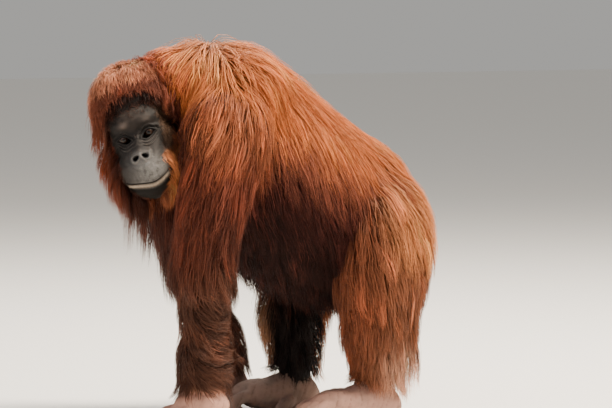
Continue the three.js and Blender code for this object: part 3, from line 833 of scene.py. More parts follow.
def coat_colour(p: np.ndarray, place: np.ndarray) -> np.ndarray:
    """The coat's colour by where it grows, with painted light and shade, shared by the skin under it and the
    tufts.

    Args:
        p: places on the skin.
        place: the number of the place in PLACES for each.

    Returns:
        Linear colours.
    """
    x, y, z = p.T
    h = to_head(p)
    head, neck, trunk, arm, leg = (
        np.isin(place, [PLACES.index(k) for k in kinds]).astype(float)
        for kinds in (
            [Place.HEAD, Place.EAR],
            [Place.NECK],
            [Place.TRUNK],
            [Place.UPPER_ARM, Place.FOREARM],
            [Place.THIGH, Place.SHIN],
        )
    )
    c = np.tile(linear(COAT.back), (len(p), 1))
    c = shade(c, COAT.hind_back, ramp(x, 60, 170) * 0.9)
    # painted light from above on the top of the back and hump
    c = shade(c, COAT.ridge, ramp(z, 560, 640))
    # painted light on the rump
    c = shade(c, COAT.rump, ramp(x, 110, 190) * ramp(450 - z, -10, 90) * ramp(z, 250, 340))
    c = shade(c, COAT.rump_hem, trunk * ramp(x, 60, 120) * ramp(-z, -310, -240))
    # a painted sheen highlight where the hair parts on the hump
    c = shade(c, COAT.parting_sheen, hill(np.hypot(x + 178, (z - 650) / 1.6), 0, 20) * trunk * 0.2)
    spine = np.interp(x, [-240, -100, 0, 80, 130, 180], [620, 610, 560, 505, 460, 370])
    foot = np.interp(x, [-240, -170, -90, 0, 80, 170], [440, 300, 244, 208, 200, 270])
    low = (z - foot) / np.maximum(spine - foot, 60)
    # painted shade behind the shoulder, running into the arm's
    c = shade(c, COAT.behind_shoulder_shade, trunk * hill(x, -205, 60) * ramp(-z, -610, -510) * 0.85)
    # darker down the flank to the belly: dark thin hair and painted shade under the body
    c = shade(c, COAT.flank, trunk * ramp(-low, -0.88, -0.66) * ramp(150 - x, 0, 60))
    c = shade(c, COAT.low_flank_shade, trunk * ramp(-low, -0.72, -0.5) * ramp(130 - x, 0, 60))
    c = shade(c, COAT.belly, trunk * ramp(-low, -0.54, -0.28) * ramp(130 - x, 0, 60))
    # darker chest front: darker hair and painted shade under the head
    c = shade(c, COAT.chest, trunk * ramp(-x, 190, 230) * ramp(-z, -560, -480))
    # the arm darkens downward: darker hair and painted shade
    c = shade(c, COAT.shoulder, arm * ramp(-z, -610, -550))
    c = shade(c, COAT.upper_arm, arm * ramp(-z, -560, -450))
    c = shade(c, COAT.elbow, arm * ramp(-z, -490, -390))
    # painted shade on the front of the shoulder
    c = shade(c, COAT.shoulder_front_shade, arm * ramp(-x, 205, 245) * ramp(-z, -580, -520) * 0.8)
    c = shade(c, COAT.forearm, arm * ramp(-z, -370, -270))
    # painted shade on the arms' inner sides
    c = shade(c, COAT.inner_arm, ramp(130 - np.abs(y), -8, 16) * arm * 0.8)
    c = shade(c, COAT.thigh, leg)
    c = shade(c, COAT.shank, leg * ramp(200 - z, 0, 80) * ramp(x, 60, 110))
    # painted light on the top of the haunch
    c = shade(c, COAT.haunch_lit, leg * ramp(z, 280, 350) * ramp(x, 60, 110))
    c = shade(c, COAT.leg_front, leg * ramp(78 - x, -10, 46) * 0.85)
    # painted shade on the legs' inner sides
    c = shade(c, COAT.inner_leg_shade, leg * ramp(90 - np.abs(y), -4, 20) * ramp(290 - z, 0, 60) * 0.85)
    c = shade(c, COAT.far_leg, leg * (y > 0) * ramp(118 - y, 0, 24) * ramp(280 - z, 0, 60))
    far_fringe = leg * (y > 0) * ramp(250 - z, 0, 60) * ramp(118 - y, 0, 24)
    c = shade(c, COAT.far_fringe_front, far_fringe * ramp(-x, 20, 38))
    c = shade(c, COAT.far_fringe_rear, far_fringe * ramp(x, 38, 54) * 0.9)
    # the head's hair, partly painted light from above on the crown
    c = shade(c, COAT.crown, head)
    c = shade(c, COAT.fore_crown, head * face_share(h, 90.0) * ramp(h[:, 2], 20, 60) * 0.5)
    c = shade(c, COAT.hairline, head * face_share(h, 62.0) * ramp(h[:, 2], 0, 40) * 0.9)
    c = shade(c, COAT.head_side, head * ramp(-h[:, 2], -30, 20))
    # painted shade on the far side of the head
    c = shade(c, COAT.far_head_side, head * ramp(h[:, 1], 20, 52) * ramp(-h[:, 2], -66, -20))
    c = shade(c, COAT.near_temple, head * ramp(-h[:, 1], 50, 60) * ramp(-h[:, 2], -50, -10))
    # the band reaches wider on the far side: painted shade there
    side_band = DARK_BAND * np.where(h[:, 1] > 0, 1.0, 0.6 + 0.6 * ramp(h[:, 2], 20, 50))
    band = face_share(h, side_band) * head * (1 - 0.9 * ramp(h[:, 1], 36, 48) * ramp(40 - h[:, 2], 0, 30))
    c = shade(c, COAT.face_band, band * ramp(-h[:, 2], -56, -20))
    c = shade(c, COAT.near_face_band, band * ramp(-h[:, 2], -40, 0) * ramp(-h[:, 1], 30, 50))
    c = shade(c, COAT.brow_band, band * ramp(h[:, 2], 20, 50))
    low_jaw = head * ramp(-h[:, 2], 40, 55)
    c = shade(c, COAT.jaw, low_jaw)
    c = shade(c, COAT.beard, low_jaw * ramp(-h[:, 2], 94, 112) * ramp(22 - h[:, 1], 0, 24))
    c = shade(c, COAT.near_cheek, low_jaw * ramp(-h[:, 1], 20, 32))
    # painted shade on the far side's whiskers
    c = shade(c, COAT.far_whiskers_shade, head * ramp(-h[:, 2], 15, 45) * ramp(h[:, 1], 36, 50))
    c = shade(c, COAT.neck, neck)
    # painted shade on the lower neck, under the head
    return shade(c, COAT.low_neck, neck * ramp(-z, -610, -540))


@dataclass(frozen=True)
class LimbEndTones:
    """The colours of the bare hands, feet and ears."""

    # the dark tones are mottling and the far hand's and foot's painted shade
    pale_hand: str = "#c08f7c"
    dark_hand: str = "#6f564c"
    pale_foot: str = "#b38878"
    dark_foot: str = "#80695d"
    crease: str = "#4a352d"
    ear: str = "#6b4032"
    wrist: str = "#9c6c58"


LIMB_ENDS = LimbEndTones()


def skin_colour(p: np.ndarray, place: np.ndarray) -> np.ndarray:
    """The skin's colour: bare on the face, hands, feet and ears, and the coat's own, darker, under it.

    Args:
        p: places on the skin.
        place: the number of the place in PLACES for each.

    Returns:
        Linear colours.
    """
    h = to_head(p)
    head = (place == PLACES.index(Place.HEAD)).astype(float)
    under = coat_colour(p, place) * (0.38 + 0.3 * head)[:, None]
    bare = head * face_share(h)
    c = under * (1 - bare[:, None]) + face_colour(h) * bare[:, None]
    x, y, z = p.T
    blotch = np.sin(x * 0.12 + np.sin(y * 0.15)) * np.sin(y * 0.14 + 1.2 * np.sin(z * 0.1))
    near = y < 0
    # the near hands and feet pale and the far ones dark: painted shade on the far side, with mottling
    paleness_and_light = np.where(near, 0.85, 0.15) - 0.25 * ramp(blotch, 0, 1)
    for kind, pale, dark in (
        (Place.HAND, LIMB_ENDS.pale_hand, LIMB_ENDS.dark_hand),
        (Place.FOOT, LIMB_ENDS.pale_foot, LIMB_ENDS.dark_foot),
    ):
        here = (place == PLACES.index(kind)).astype(float)
        tone = shade(np.tile(linear(dark), (len(p), 1)), pale, paleness_and_light)
        tone = shade(tone, LIMB_ENDS.crease, ramp(-crease_relief(p), 0.3, 0.9) * 0.35)
        c = c * (1 - here[:, None]) + tone * here[:, None]
    ear = (place == PLACES.index(Place.EAR)).astype(float)
    c = shade(c, LIMB_ENDS.ear, ear)
    limb = np.isin(place, [PLACES.index(Place.FOREARM), PLACES.index(Place.SHIN)]).astype(float)
    return shade(c, LIMB_ENDS.wrist, limb * ramp(-z, -84, -62) * near)


@dataclass(frozen=True)
class BareSkin:
    """Ape skin: soft leather grown over flesh, which gives a broken sheen on fine crossing creases."""

    crease_mm: float = 2.2  # spacing of the crossing lines; the finest are drawn coarser so that they show
    pore_mm: float = 0.9
    blotch_scale: float = 130  # noise cells to a metre
    tone: tuple = (0.82, 1.16)  # how much darker and lighter the blotches are
    roughness: tuple = (0.58, 0.8)  # on worn and on dry spots
    relief_mm: float = 0.6

    def material(self) -> bpy.types.Material:
        """Skin that takes its colour from the mesh, with creases and pores in relief."""
        m, tree, surface = blank_material("ape_skin_leathery")
        colour_layer = add(tree, "ShaderNodeVertexColor", layer_name="Coat")
        where = add(tree, "ShaderNodeTexCoord").outputs["Object"]
        blotch = add(tree, "ShaderNodeTexNoise", {"Vector": where, "Scale": self.blotch_scale, "Detail": 4})
        tone = add_range(tree, blotch.outputs["Fac"], self.tone)
        colour = scaled(tree, colour_layer.outputs["Color"], tone)
        crease = add(
            tree,
            "ShaderNodeTexVoronoi",
            {"Vector": where, "Scale": per_metre(self.crease_mm)},
            feature="DISTANCE_TO_EDGE",
        )
        line = add(tree, "ShaderNodeMapRange", {"Value": crease.outputs["Distance"], "From Max": 0.22})
        pore = add(tree, "ShaderNodeTexNoise", {"Vector": where, "Scale": per_metre(self.pore_mm)})
        heights = {0: line.outputs["Result"], 1: pore.outputs["Fac"]}
        mixed = add(tree, "ShaderNodeMath", heights, operation="ADD")
        height = {"Height": mixed.outputs["Value"], "Strength": 0.28, "Distance": self.relief_mm * MM}
        relief = add(tree, "ShaderNodeBump", height)
        tree.links.new(colour, surface.inputs["Base Color"])
        tree.links.new(add_range(tree, blotch.outputs["Fac"], self.roughness), surface.inputs["Roughness"])
        tree.links.new(relief.outputs["Normal"], surface.inputs["Normal"])
        surface.inputs["IOR"].default_value = 1.42
        surface.inputs["Specular IOR Level"].default_value = 0.22
        surface.inputs["Subsurface Weight"].default_value = 0.06
        surface.inputs["Subsurface Radius"].default_value = (0.004, 0.0015, 0.001)
        return m


@dataclass(frozen=True)
class LongHair:
    """Orangutan hair: smooth keratin in loose wisps, which gives a faint soft shine along them."""

    roughness: float = 0.5

    def material(self) -> bpy.types.Material:
        """Hair that takes its colour from the tufts and shines a little."""
        m, tree, surface = blank_material("orangutan_hair_grown")
        colour_layer = add(tree, "ShaderNodeVertexColor", layer_name="Coat")
        tree.links.new(colour_layer.outputs["Color"], surface.inputs["Base Color"])
        surface.inputs["Roughness"].default_value = self.roughness
        surface.inputs["IOR"].default_value = 1.55
        surface.inputs["Specular IOR Level"].default_value = 0.12
        return m


@dataclass(frozen=True)
class WetEye:
    """A living eye: a clear wet cornea over a brown iris, which gives one sharp glint on near black."""

    fleck_scale: float = 900  # noise cells to a metre
    tone: tuple = (0.6, 1.4)

    def material(self) -> bpy.types.Material:
        """The eye's painted colour under a smooth clear coat."""
        m, tree, surface = blank_material("eye_wet_cornea")
        colour_layer = add(tree, "ShaderNodeVertexColor", layer_name="Coat")
        where = add(tree, "ShaderNodeTexCoord").outputs["Object"]
        fleck = add(tree, "ShaderNodeTexNoise", {"Vector": where, "Scale": self.fleck_scale, "Detail": 3})
        tone = add_range(tree, fleck.outputs["Fac"], self.tone)
        tree.links.new(scaled(tree, colour_layer.outputs["Color"], tone), surface.inputs["Base Color"])
        surface.inputs["Roughness"].default_value = 0.22
        surface.inputs["IOR"].default_value = 1.376
        surface.inputs["Specular IOR Level"].default_value = 0.3
        surface.inputs["Coat Weight"].default_value = 0.2
        surface.inputs["Coat Roughness"].default_value = 0.04
        return m


@dataclass(frozen=True)
class Nail:
    """Keratin nail: grown in long ridges and worn smooth, which gives a dull gloss in streaks."""

    wave_mm: float = 4.8  # the wave pattern draws about three ridges in this length
    dark: str = "#2b2422"
    pale: str = "#4d423c"

    def material(self) -> bpy.types.Material:
        """Dark horn with fine ridges."""
        m, tree, surface = blank_material("nail_keratin_worn")
        where = add(tree, "ShaderNodeTexCoord").outputs["Object"]
        wave = {"Vector": where, "Scale": per_metre(self.wave_mm), "Distortion": 2.0}
        ridge = add(tree, "ShaderNodeTexWave", wave, bands_direction="Y")
        mix = add(tree, "ShaderNodeMix", {"Factor": ridge.outputs["Fac"]}, data_type="RGBA")
        mix.inputs["A"].default_value = (*linear(self.dark), 1)
        mix.inputs["B"].default_value = (*linear(self.pale), 1)
        height = {"Height": ridge.outputs["Fac"], "Strength": 0.2, "Distance": 0.0003}
        relief = add(tree, "ShaderNodeBump", height)
        tree.links.new(mix.outputs["Result"], surface.inputs["Base Color"])
        tree.links.new(relief.outputs["Normal"], surface.inputs["Normal"])
        surface.inputs["Roughness"].default_value = 0.35
        surface.inputs["IOR"].default_value = 1.54
        return m


def blank_material(name: str) -> tuple:
    """A new material with its surface shader.

    Args:
        name: what the real one is and how it was made.

    Returns:
        The material, its node tree and its Principled shader.
    """
    m = bpy.data.materials.new(name)
    m.use_nodes = True
    surface = next(n for n in m.node_tree.nodes if n.bl_idname == "ShaderNodeBsdfPrincipled")
    return m, m.node_tree, surface


def per_metre(size_mm: float) -> float:
    """A pattern's scale from the real size of what repeats."""
    return 1 / (size_mm * MM)


def add(
    tree: bpy.types.NodeTree, kind: str, inputs: dict | None = None, **settings: object
) -> bpy.types.Node:
    """Adds a node with its settings and links.

    Args:
        tree: where it goes.
        kind: the node's type.
        inputs: values or other nodes' outputs by socket name or number.
        settings: the node's own properties.

    Returns:
        The node.
    """
    node = tree.nodes.new(kind)
    for key, value in settings.items():
        setattr(node, key, value)
    for key, value in (inputs or {}).items():
        if isinstance(value, bpy.types.NodeSocket):
            tree.links.new(value, node.inputs[key])
        else:
            node.inputs[key].default_value = value
    return node


def add_range(tree: bpy.types.NodeTree, value: bpy.types.NodeSocket, ends: tuple) -> bpy.types.NodeSocket:
    """Spreads a pattern's 0 to 1 between two other numbers."""
    limits = {"Value": value, "To Min": ends[0], "To Max": ends[1]}
    return add(tree, "ShaderNodeMapRange", limits).outputs["Result"]


def scaled(
    tree: bpy.types.NodeTree, colour: bpy.types.NodeSocket, by: bpy.types.NodeSocket
) -> bpy.types.NodeSocket:
    """A colour made darker or lighter by a pattern."""
    return add(tree, "ShaderNodeVectorMath", {0: colour, "Scale": by}, operation="SCALE").outputs["Vector"]


def paint(mesh: bpy.types.Mesh, colours: np.ndarray) -> None:
    """Keeps a linear colour at each corner of a mesh."""
    layer = mesh.color_attributes.new("Coat", "FLOAT_COLOR", "POINT")
    full = np.ones((len(colours), 4), dtype=np.float32)
    full[:, :3] = colours
    layer.data.foreach_set("color", full.ravel())


def show(name: str, mesh: bpy.types.Mesh, material: bpy.types.Material) -> bpy.types.Object:
    """Puts a mesh made in millimetres into the scene as a piece that goes with the body.

    Args:
        name: the piece's name.
        mesh: its shape, in millimetres in the body's frame.
        material: its finish.

    Returns:
        The object.
    """
    mesh.transform(Matrix.Scale(MM, 4) @ Matrix.Translation(Vector(SHIFT.tolist())))
    mesh.materials.clear()
    mesh.materials.append(material)
    thing = bpy.data.objects.new(name, mesh)
    bpy.context.collection.objects.link(thing)
    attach(thing, "root")
    return thing


@dataclass
class Skin:
    """The whole skin: trunk and limbs under the coat, bare hands and feet, and the head with its face."""

    body_grain: float = 6.0
    limb_end_grain: float = 2.6
    head_grain: float = 1.7

    def head(self) -> bpy.types.Mesh:
        """The head with lids, nose, lips, folds and ears in relief."""
        mesh = wrap("head", head_forms(), self.head_grain, 3)
        set_corners(mesh, to_head(corners_of(mesh)))
        p = corners_of(mesh)
        ears = ramp(np.abs(p[:, 1]), 52, 60) * (np.hypot((p[:, 0] - 4) / 17, (p[:, 2] - 2) / 25) < 1.1)
        nose = hill(np.hypot(p[:, 1] / 22, (p[:, 2] + 38) / 14), 0, 0.8) * (p[:, 0] < -60)
        kept = np.maximum(ears, 0.6 * nose)[:, None]
        p = spread(p, edges_of(mesh), 45, 0.5) * (1 - kept) + p * kept
        set_corners(mesh, p)
        n = normals_of(mesh)
        face = (face_share(p) > 0.02) & (n[:, 0] < 0.1)
        mesh = refine(mesh, face)
        p = corners_of(mesh)
        n = normals_of(mesh)
        front = ramp(-n[:, 0], -0.05, 0.35) * face_share(p)
        ears = (np.abs(p[:, 1]) > 58) & (np.hypot((p[:, 0] - 4) / 14, (p[:, 2] - 2) / 21) < 1.1)
        rise = face_relief(p) * front + np.where(ears, ear_relief(p) * ramp(np.abs(n[:, 1]), 0.2, 0.7), 0)
        p += n * rise[:, None]
        set_corners(mesh, p)
        return mesh

    def build(self) -> bpy.types.Object:
        """Makes the skin, paints it and sets it in place of the flesh nodes."""
        head = self.head()
        set_corners(head, from_head(corners_of(head)))
        ends = [f for name in SIDES for f in hand_forms(name) + foot_forms(name)]
        limb_ends = wrap("limb_ends", ends + limb_cuffs(), self.limb_end_grain, 3)
        p = corners_of(limb_ends)
        low = ramp(80 - p[:, 2], 0, 14)
        set_corners(limb_ends, p + normals_of(limb_ends) * (crease_relief(p) * low)[:, None])
        body = wrap("body", body_forms(), self.body_grain, 6)
        joined = bmesh.new()
        for mesh in (body, limb_ends, head):
            joined.from_mesh(mesh)
        skin = bpy.data.meshes.new("skin")
        joined.to_mesh(skin)
        joined.free()
        p = corners_of(skin)
        p[:, 2] = np.maximum(p[:, 2], 0.4)
        set_corners(skin, p)
        skin.polygons.foreach_set("use_smooth", np.ones(len(skin.polygons), dtype=bool))
        place = Atlas.of(p)
        paint(skin, skin_colour(p, place))
        thing = show("skin", skin, BareSkin().material())
        flesh = [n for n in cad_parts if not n.startswith("eye")]
        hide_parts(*flesh)
        return thing


class Atlas:
    """Which part of the body each place belongs to, by the nearest of the forms."""

    forms = body_forms() + limb_cuffs() + [f for name in SIDES for f in hand_forms(name) + foot_forms(name)]
    heads = head_forms()
    tree = None
    labels: list = []

    @classmethod
    def prepare(cls) -> None:
        """Spreads marks over every form, each with the form's number."""
        spots, labels = [], []
        for number, form in enumerate(cls.forms + cls.heads):
            corners, _ = form.grid(28, 24)
            spots.append(corners)
            labels += [number] * len(corners)
        cls.labels = labels
        every = np.vstack(spots)
        cls.tree = kdtree.KDTree(len(every))
        for i, spot in enumerate(every):
            cls.tree.insert(spot, i)
        cls.tree.balance()

    @classmethod
    def form_of(cls, p: np.ndarray) -> np.ndarray:
        """The number of the nearest form at each place."""
        if cls.tree is None:
            cls.prepare()
        return np.array([cls.labels[cls.tree.find(spot)[1]] for spot in p])

    @classmethod
    def kinds(cls) -> np.ndarray:
        """The number in PLACES of each form."""
        return np.array([PLACES.index(place_of(f.name)) for f in cls.forms + cls.heads])

    @classmethod
    def of(cls, p: np.ndarray) -> np.ndarray:
        """The number in PLACES at each place."""
        return cls.kinds()[cls.form_of(p)]


@dataclass(frozen=True)
class Growth:
    """How the coat grows at one place of the body."""

    length: float  # of the hair, in millimetres
    rise: float  # how far its tips stand over the skin
    dense: float  # wisps on each square centimetre of the side that is seen
    wide: float  # a wisp's full width
    lie: tuple = (0.0, 0.0, -1.0)  # back, outward and up
    clump: float = 0.75  # how far the tips of neighbours draw together
    fall: float = 0.12  # how soon a wisp turns down
    loose: float = 0.1  # how freely it stands off the body, from 0 to 1
    wave: float = 3.0  # how far a lock swings to each side
    vary: float = 0.14  # how far its tones differ


class Column(IntEnum):
    """What the comb keeps of the growth at each of its corners, named as in Growth."""

    LENGTH = 0
    RISE = 1
    DENSE = 2
    WIDE = 3
    CLUMP = 4
    FALL = 5
    LOOSE = 6
    WAVE = 7
    VARY = 8


GROWTH = {
    Place.HEAD: Growth(27, 11, 27, 0.85, clump=0.2, fall=0.04, wave=2.0),
    Place.NECK: Growth(75, 20, 11, 1.4, lie=(-0.1, 0.3, -1.0), loose=0.2, wave=4, vary=0.2),
    Place.TRUNK: Growth(115, 24, 8.9, 1.65, lie=(0.45, 0.25, -0.9), clump=0.65, wave=4.5),
    Place.UPPER_ARM: Growth(105, 24, 10, 1.6, lie=(-0.45, 0.1, -0.9), loose=0.3, wave=8, vary=0.26),
    Place.FOREARM: Growth(62, 11, 12, 1.3, lie=(0.95, 0.05, 0.1), fall=0.03, loose=0.08, wave=5, vary=0.24),
    Place.THIGH: Growth(95, 24, 9.5, 1.6, lie=(0.3, 0.0, -1.0), loose=0.15, wave=6, vary=0.2),
    Place.SHIN: Growth(70, 20, 10, 1.4, lie=(0.25, 0.0, -1.0), loose=0.25, wave=5, vary=0.2),
    Place.HAND: Growth(12, 3, 2, 0.9, lie=(-0.3, 0.0, -1.0), clump=0.3, wave=1),
    Place.FOOT: Growth(12, 3, 2, 0.9, lie=(-0.4, 0.1, -0.6), clump=0.3, wave=1),
    Place.EAR: Growth(12, 4, 3, 0.9, lie=(0.3, 0.3, 0.4), clump=0.2, wave=1),
}
WHORL = (-178, -20, 650)  # where the coat parts on the hump
CROWN = (30, 0, 98)  # where the hair parts on the head, in the head's frame
STATIONS = 5  # places along a wisp
FLOAT_CEILING = 26.0  # a wisp farther than this from the body hangs free
ROOT_DEPTH = 2.5  # how far a wisp's root lies in the skin
FAR_SHARE = 0.56  # how much thinner the coat is grown on the side that is turned away
MOST_WISPS = 8900  # in one piece, at 22 triangles each
PATCH = 0.003  # a wisp's patch on the skin's unwrap


def head_lie(h: np.ndarray) -> np.ndarray:
    """The hair's way on the head: forward over the crown, down the sides, and out round the face."""
    side = np.tanh(h[:, 1] / 24)
    low = np.maximum(ramp(np.abs(h[:, 1]), 22, 58), ramp(-h[:, 2], -30, 10))
    rear = ramp(h[:, 0], 10, 50) * ramp(-h[:, 2], -60, 0)
    jaw = ramp(-h[:, 2], 20, 70)
    back = 0.7 * jaw * (h[:, 1] < 0)
    ahead = -1.0 + 0.8 * low + 0.7 * rear + back
    way = np.stack([ahead, side * (0.25 + 0.1 * low + 0.3 * jaw), -0.25 - 0.9 * low], axis=1)
    return from_head_way(way)


class Comb:
    """The run of the coat over the body: its surface with the hair's lie, length and rise at each corner."""

    grain: float = 7.0

    def __init__(self) -> None:
        """Wraps every form and lays the fields out on it."""
        self.mesh = wrap("comb", Atlas.forms + Atlas.heads, self.grain, 3)
        self.mesh.calc_loop_triangles()
        self.p = corners_of(self.mesh)
        self.n = normals_of(self.mesh)
        self.h = to_head(self.p)
        self.side = np.sign(self.p[:, 1])
        self.edges = edges_of(self.mesh)
        self.form = Atlas.form_of(self.p)
        self.place = Atlas.kinds()[self.form]
        self.growths = [GROWTH[kind] for kind in PLACES]
        self.tufts = self.find_tufts()
        self.lie = self.comb_out()
        self.bare = self.find_bare()
        table = np.array([[getattr(g, column.name.lower()) for column in Column] for g in self.growths])
        self.size = spread(table[self.place], self.edges, 5)
        self.trim()
        self.dress_tufts()
        self.tree = BVHTree.FromPolygons(self.p.tolist(), [tuple(f.vertices) for f in self.mesh.polygons])
        self.first = np.array([f.vertices[0] for f in self.mesh.polygons])
        self.face_normal = np.array([f.normal for f in self.mesh.polygons])

    def on(self, kind: Place) -> np.ndarray:
        """Whether each corner lies on a kind of place."""
        return self.place == PLACES.index(kind)

    def find_tufts(self) -> dict[str, np.ndarray]:
        """The shares, from 0 to 1, at which corners belong to the places where the coat stands out."""
        x, y, z = self.p.T
        ahead, behind = -self.n[:, 0], self.n[:, 0]
        arm, head = self.on(Place.UPPER_ARM), self.on(Place.HEAD)
        across, up = self.h[:, 1], self.h[:, 2]
        front = ramp(-x, 195, 235) * self.on(Place.TRUNK) * ramp(-z, -560, -500)
        far_arm = arm * (self.side > 0) * ramp(z, 330, 420) * ramp(ahead, 0.1, 0.6)
        cheek = head * ramp(-across, 28, 42) * ramp(-up, 18, 48)
        near = self.side < 0
        return {
            "front": front,
            "fringe": np.maximum(far_arm, front * ramp(y, -60, 20) * ramp(ahead, 0.2, 0.7)),
            "throat": front * ramp(ahead, 0.2, 0.7) * ramp(z, 430, 500),
            "whisker": head * ramp(across, 27, 43) * ramp(-up, -62, -22),
            "far_head": head * ramp(across, 30, 55),
            "cheek": cheek,
            "beard": head * ramp(-up, 86, 104) * (1 - cheek),
            "elbow": arm * ramp(behind, 0.1, 0.6) * hill(z, 325, 40),
            "wrist": near * self.on(Place.FOREARM) * ramp(behind, 0.0, 0.5) * hill(z, 118, 30),
            "heel": self.on(Place.SHIN) * near * ramp(behind, 0.1, 0.7) * hill(z, 150, 48),
            "hump": hill(np.linalg.norm(self.p - np.array(WHORL), axis=1), 0, 50),
        }

    def comb_out(self) -> np.ndarray:
        """The hair's way along the skin at each corner, turned by each part's own habit and evened out."""
        x, _, z = self.p.T
        side, level = self.side, np.ones_like(self.side)
        lie = np.array([g.lie for g in self.growths])[self.place]
        lie = lie * np.stack([level, side, level], axis=1)
        head, trunk = self.on(Place.HEAD), self.on(Place.TRUNK)
        forearm, shin = self.on(Place.FOREARM), self.on(Place.SHIN)
        lie[head] = head_lie(self.h[head])
        chest = ramp(-x, 180, 205)[:, None] * trunk[:, None]
        lie = lie * (1 - chest) + np.stack([-0.5 * level, 0.25 * side, -0.85 * level], axis=1) * chest
        lie[:, 0] += 1.3 * self.tufts["elbow"]
        front = self.tufts["front"][:, None]
        lie = lie * (1 - front) + np.array([-0.7, 0, -0.8]) * front
        lie[self.on(Place.UPPER_ARM) & (side > 0)] = (-0.45, 0.0, -1.0)
        lie[:, 2] -= 0.9 * forearm * ramp(-self.n[:, 0], 0.2, 0.7)
        lie[:, 2] -= 1.3 * (forearm * ramp(-z, -110, -70))
        lie[forearm & (side > 0)] += (-0.4, 0.0, -0.8)
        lie[shin, 0] = 0.42 * self.n[shin, 0] + 0.04
        ridge = ramp(self.n[:, 2], 0.55, 0.9) * (trunk | self.on(Place.NECK))
        lie[:, 0] += np.where(x < -175, -0.9, 0.9) * ridge
        for _ in range(6):
            lie = spread(self.flat(lie), self.edges, 1)
        return self.flat(lie)

    def flat(self, lie: np.ndarray) -> np.ndarray:
        """Directions laid down on the skin at each corner."""
        return unit(lie - self.n * np.sum(lie * self.n, axis=1, keepdims=True))

    def limb_ends(self) -> np.ndarray:
        """Whether each corner lies on a forearm or a shin."""
        return self.on(Place.FOREARM) | self.on(Place.SHIN)

    def find_bare(self) -> np.ndarray:
        """The share of bare skin at each corner: the face, the hands and feet, and the ends of the limbs."""
        hairline = 1 - 0.55 * ramp(self.h[:, 2], 20, 42)
        face = np.where(self.on(Place.HEAD), face_share(self.h) * hairline, 0)
        cuffs = self.limb_ends() * ramp(-self.p[:, 2], -94, -82)
        return np.maximum(face, np.where(self.on(Place.HAND) | self.on(Place.FOOT), 1.0, cuffs))

    def trim(self) -> None:
        """Shortens and lengthens the coat by where it grows."""
        x, _, z = self.p.T
        out_up = self.n[:, 2]
        across, up = self.h[:, 1], self.h[:, 2]
        head, trunk, tufts = self.on(Place.HEAD), self.on(Place.TRUNK), self.tufts
        rear = ramp(x, -60, 60) * trunk * ramp(-x, -120, -60)
        loin = trunk * hill(x, -20, 60) * ramp(out_up, 0.3, 0.8)
        cuff = self.limb_ends() * ramp(-z, -105, -70)
        short = 1 - 0.72 * cuff * (1 - tufts["wrist"])
        band = np.where(head, face_share(self.h, DARK_BAND), 0)
        far_side = ramp(across, 30, 48) * ramp(-up, -40, 0)
        near_face = 1 - 0.78 * band * ramp(up, -62, -45) * (1 - 0.7 * far_side)
        side_hair = 1 + 0.6 * head * ramp(np.abs(across), 40, 62) * ramp(up, -40, 0) + 1.5 * tufts["whisker"]
        side_hair += 0.6 * tufts["cheek"] + 0.7 * tufts["beard"] + 0.6 * tufts["heel"]
        throat = 1 + 0.25 * tufts["throat"] + 0.5 * tufts["fringe"]
        under = 1 - 0.45 * trunk * ramp(-out_up, 0.1, 0.6) * ramp(x, -200, -150)
        by_head = 1 - 0.45 * ramp(-x, 215, 265) * self.on(Place.NECK)
        self.size[:, Column.LENGTH] *= short * near_face * throat * side_hair * under * by_head
        self.size[:, Column.RISE] *= short * near_face * (1 - 0.65 * rear) * (1 - 0.45 * loin)

    def dress_tufts(self) -> None:
        """Lets the tufts and fringes hang free, and draws the whiskers into coarser locks."""
        tufts = self.tufts
        hanging = {
            "fringe": 1.0,
            "whisker": 1.05,
            "hump": 0.55,
            "far_head": 0.45,
            "elbow": 0.5,
            "wrist": 0.4,
            "cheek": 0.35,
            "beard": 0.3,
            "heel": 0.9,
        }
        free = np.maximum.reduce([share * tufts[name] for name, share in hanging.items()])
        loose = self.size[:, Column.LOOSE]
        self.size[:, Column.LOOSE] = np.maximum(loose, 0.95 * spread(free, self.edges, 4))
        self.size[:, Column.VARY] += 0.2 * (self.on(Place.TRUNK) * ramp(-self.n[:, 2], -0.3, 0.3))
        whisker = spread(tufts["whisker"], self.edges, 4)
        self.size[:, Column.WIDE] *= 1 + 0.4 * whisker
        self.size[:, Column.FALL] += 0.05 * whisker
        self.size[:, Column.DENSE] *= 1 - 0.45 * whisker
        self.size[:, Column.CLUMP] += 0.35 * whisker
        self.size[:, Column.FALL] -= 0.07 * tufts["front"]

    def scatter(self, rng: np.random.Generator, thin: float) -> dict:
        """Roots all over the coated skin.

        Args:
            rng: the draw.
            thin: the share of the full number of tufts.

        Returns:
            Arrays of the roots' places, ways out, comb corners and numbers of form.
        """
        count = len(self.mesh.loop_triangles)
        tri = np.empty(count * 3, dtype=np.int32)
        self.mesh.loop_triangles.foreach_get("vertices", tri)
        tri = tri.reshape(-1, 3)
        a, b, c = (self.p[tri[:, k]] for k in range(3))
        area = np.linalg.norm(np.cross(b - a, c - a), axis=1) / 2
        dense = self.size[tri, Column.DENSE].mean(axis=1) / 100 * (1 - self.bare[tri].mean(axis=1))
        dense *= np.where(self.p[tri[:, 0], 1] > 20, FAR_SHARE, 1.0)
        number = rng.poisson(area * dense * thin)
        pick = np.repeat(np.arange(count), number)
        u, v = np.sqrt(rng.random(len(pick))), rng.random(len(pick))
        share = np.stack([1 - u, u * (1 - v), u * v], axis=1)[:, :, None]
        at = np.sum(self.p[tri[pick]] * share, axis=1)
        corner = tri[pick, 0]
        out = unit(np.sum(self.n[tri[pick]] * share, axis=1))
        return {"at": at, "out": out, "corner": corner}

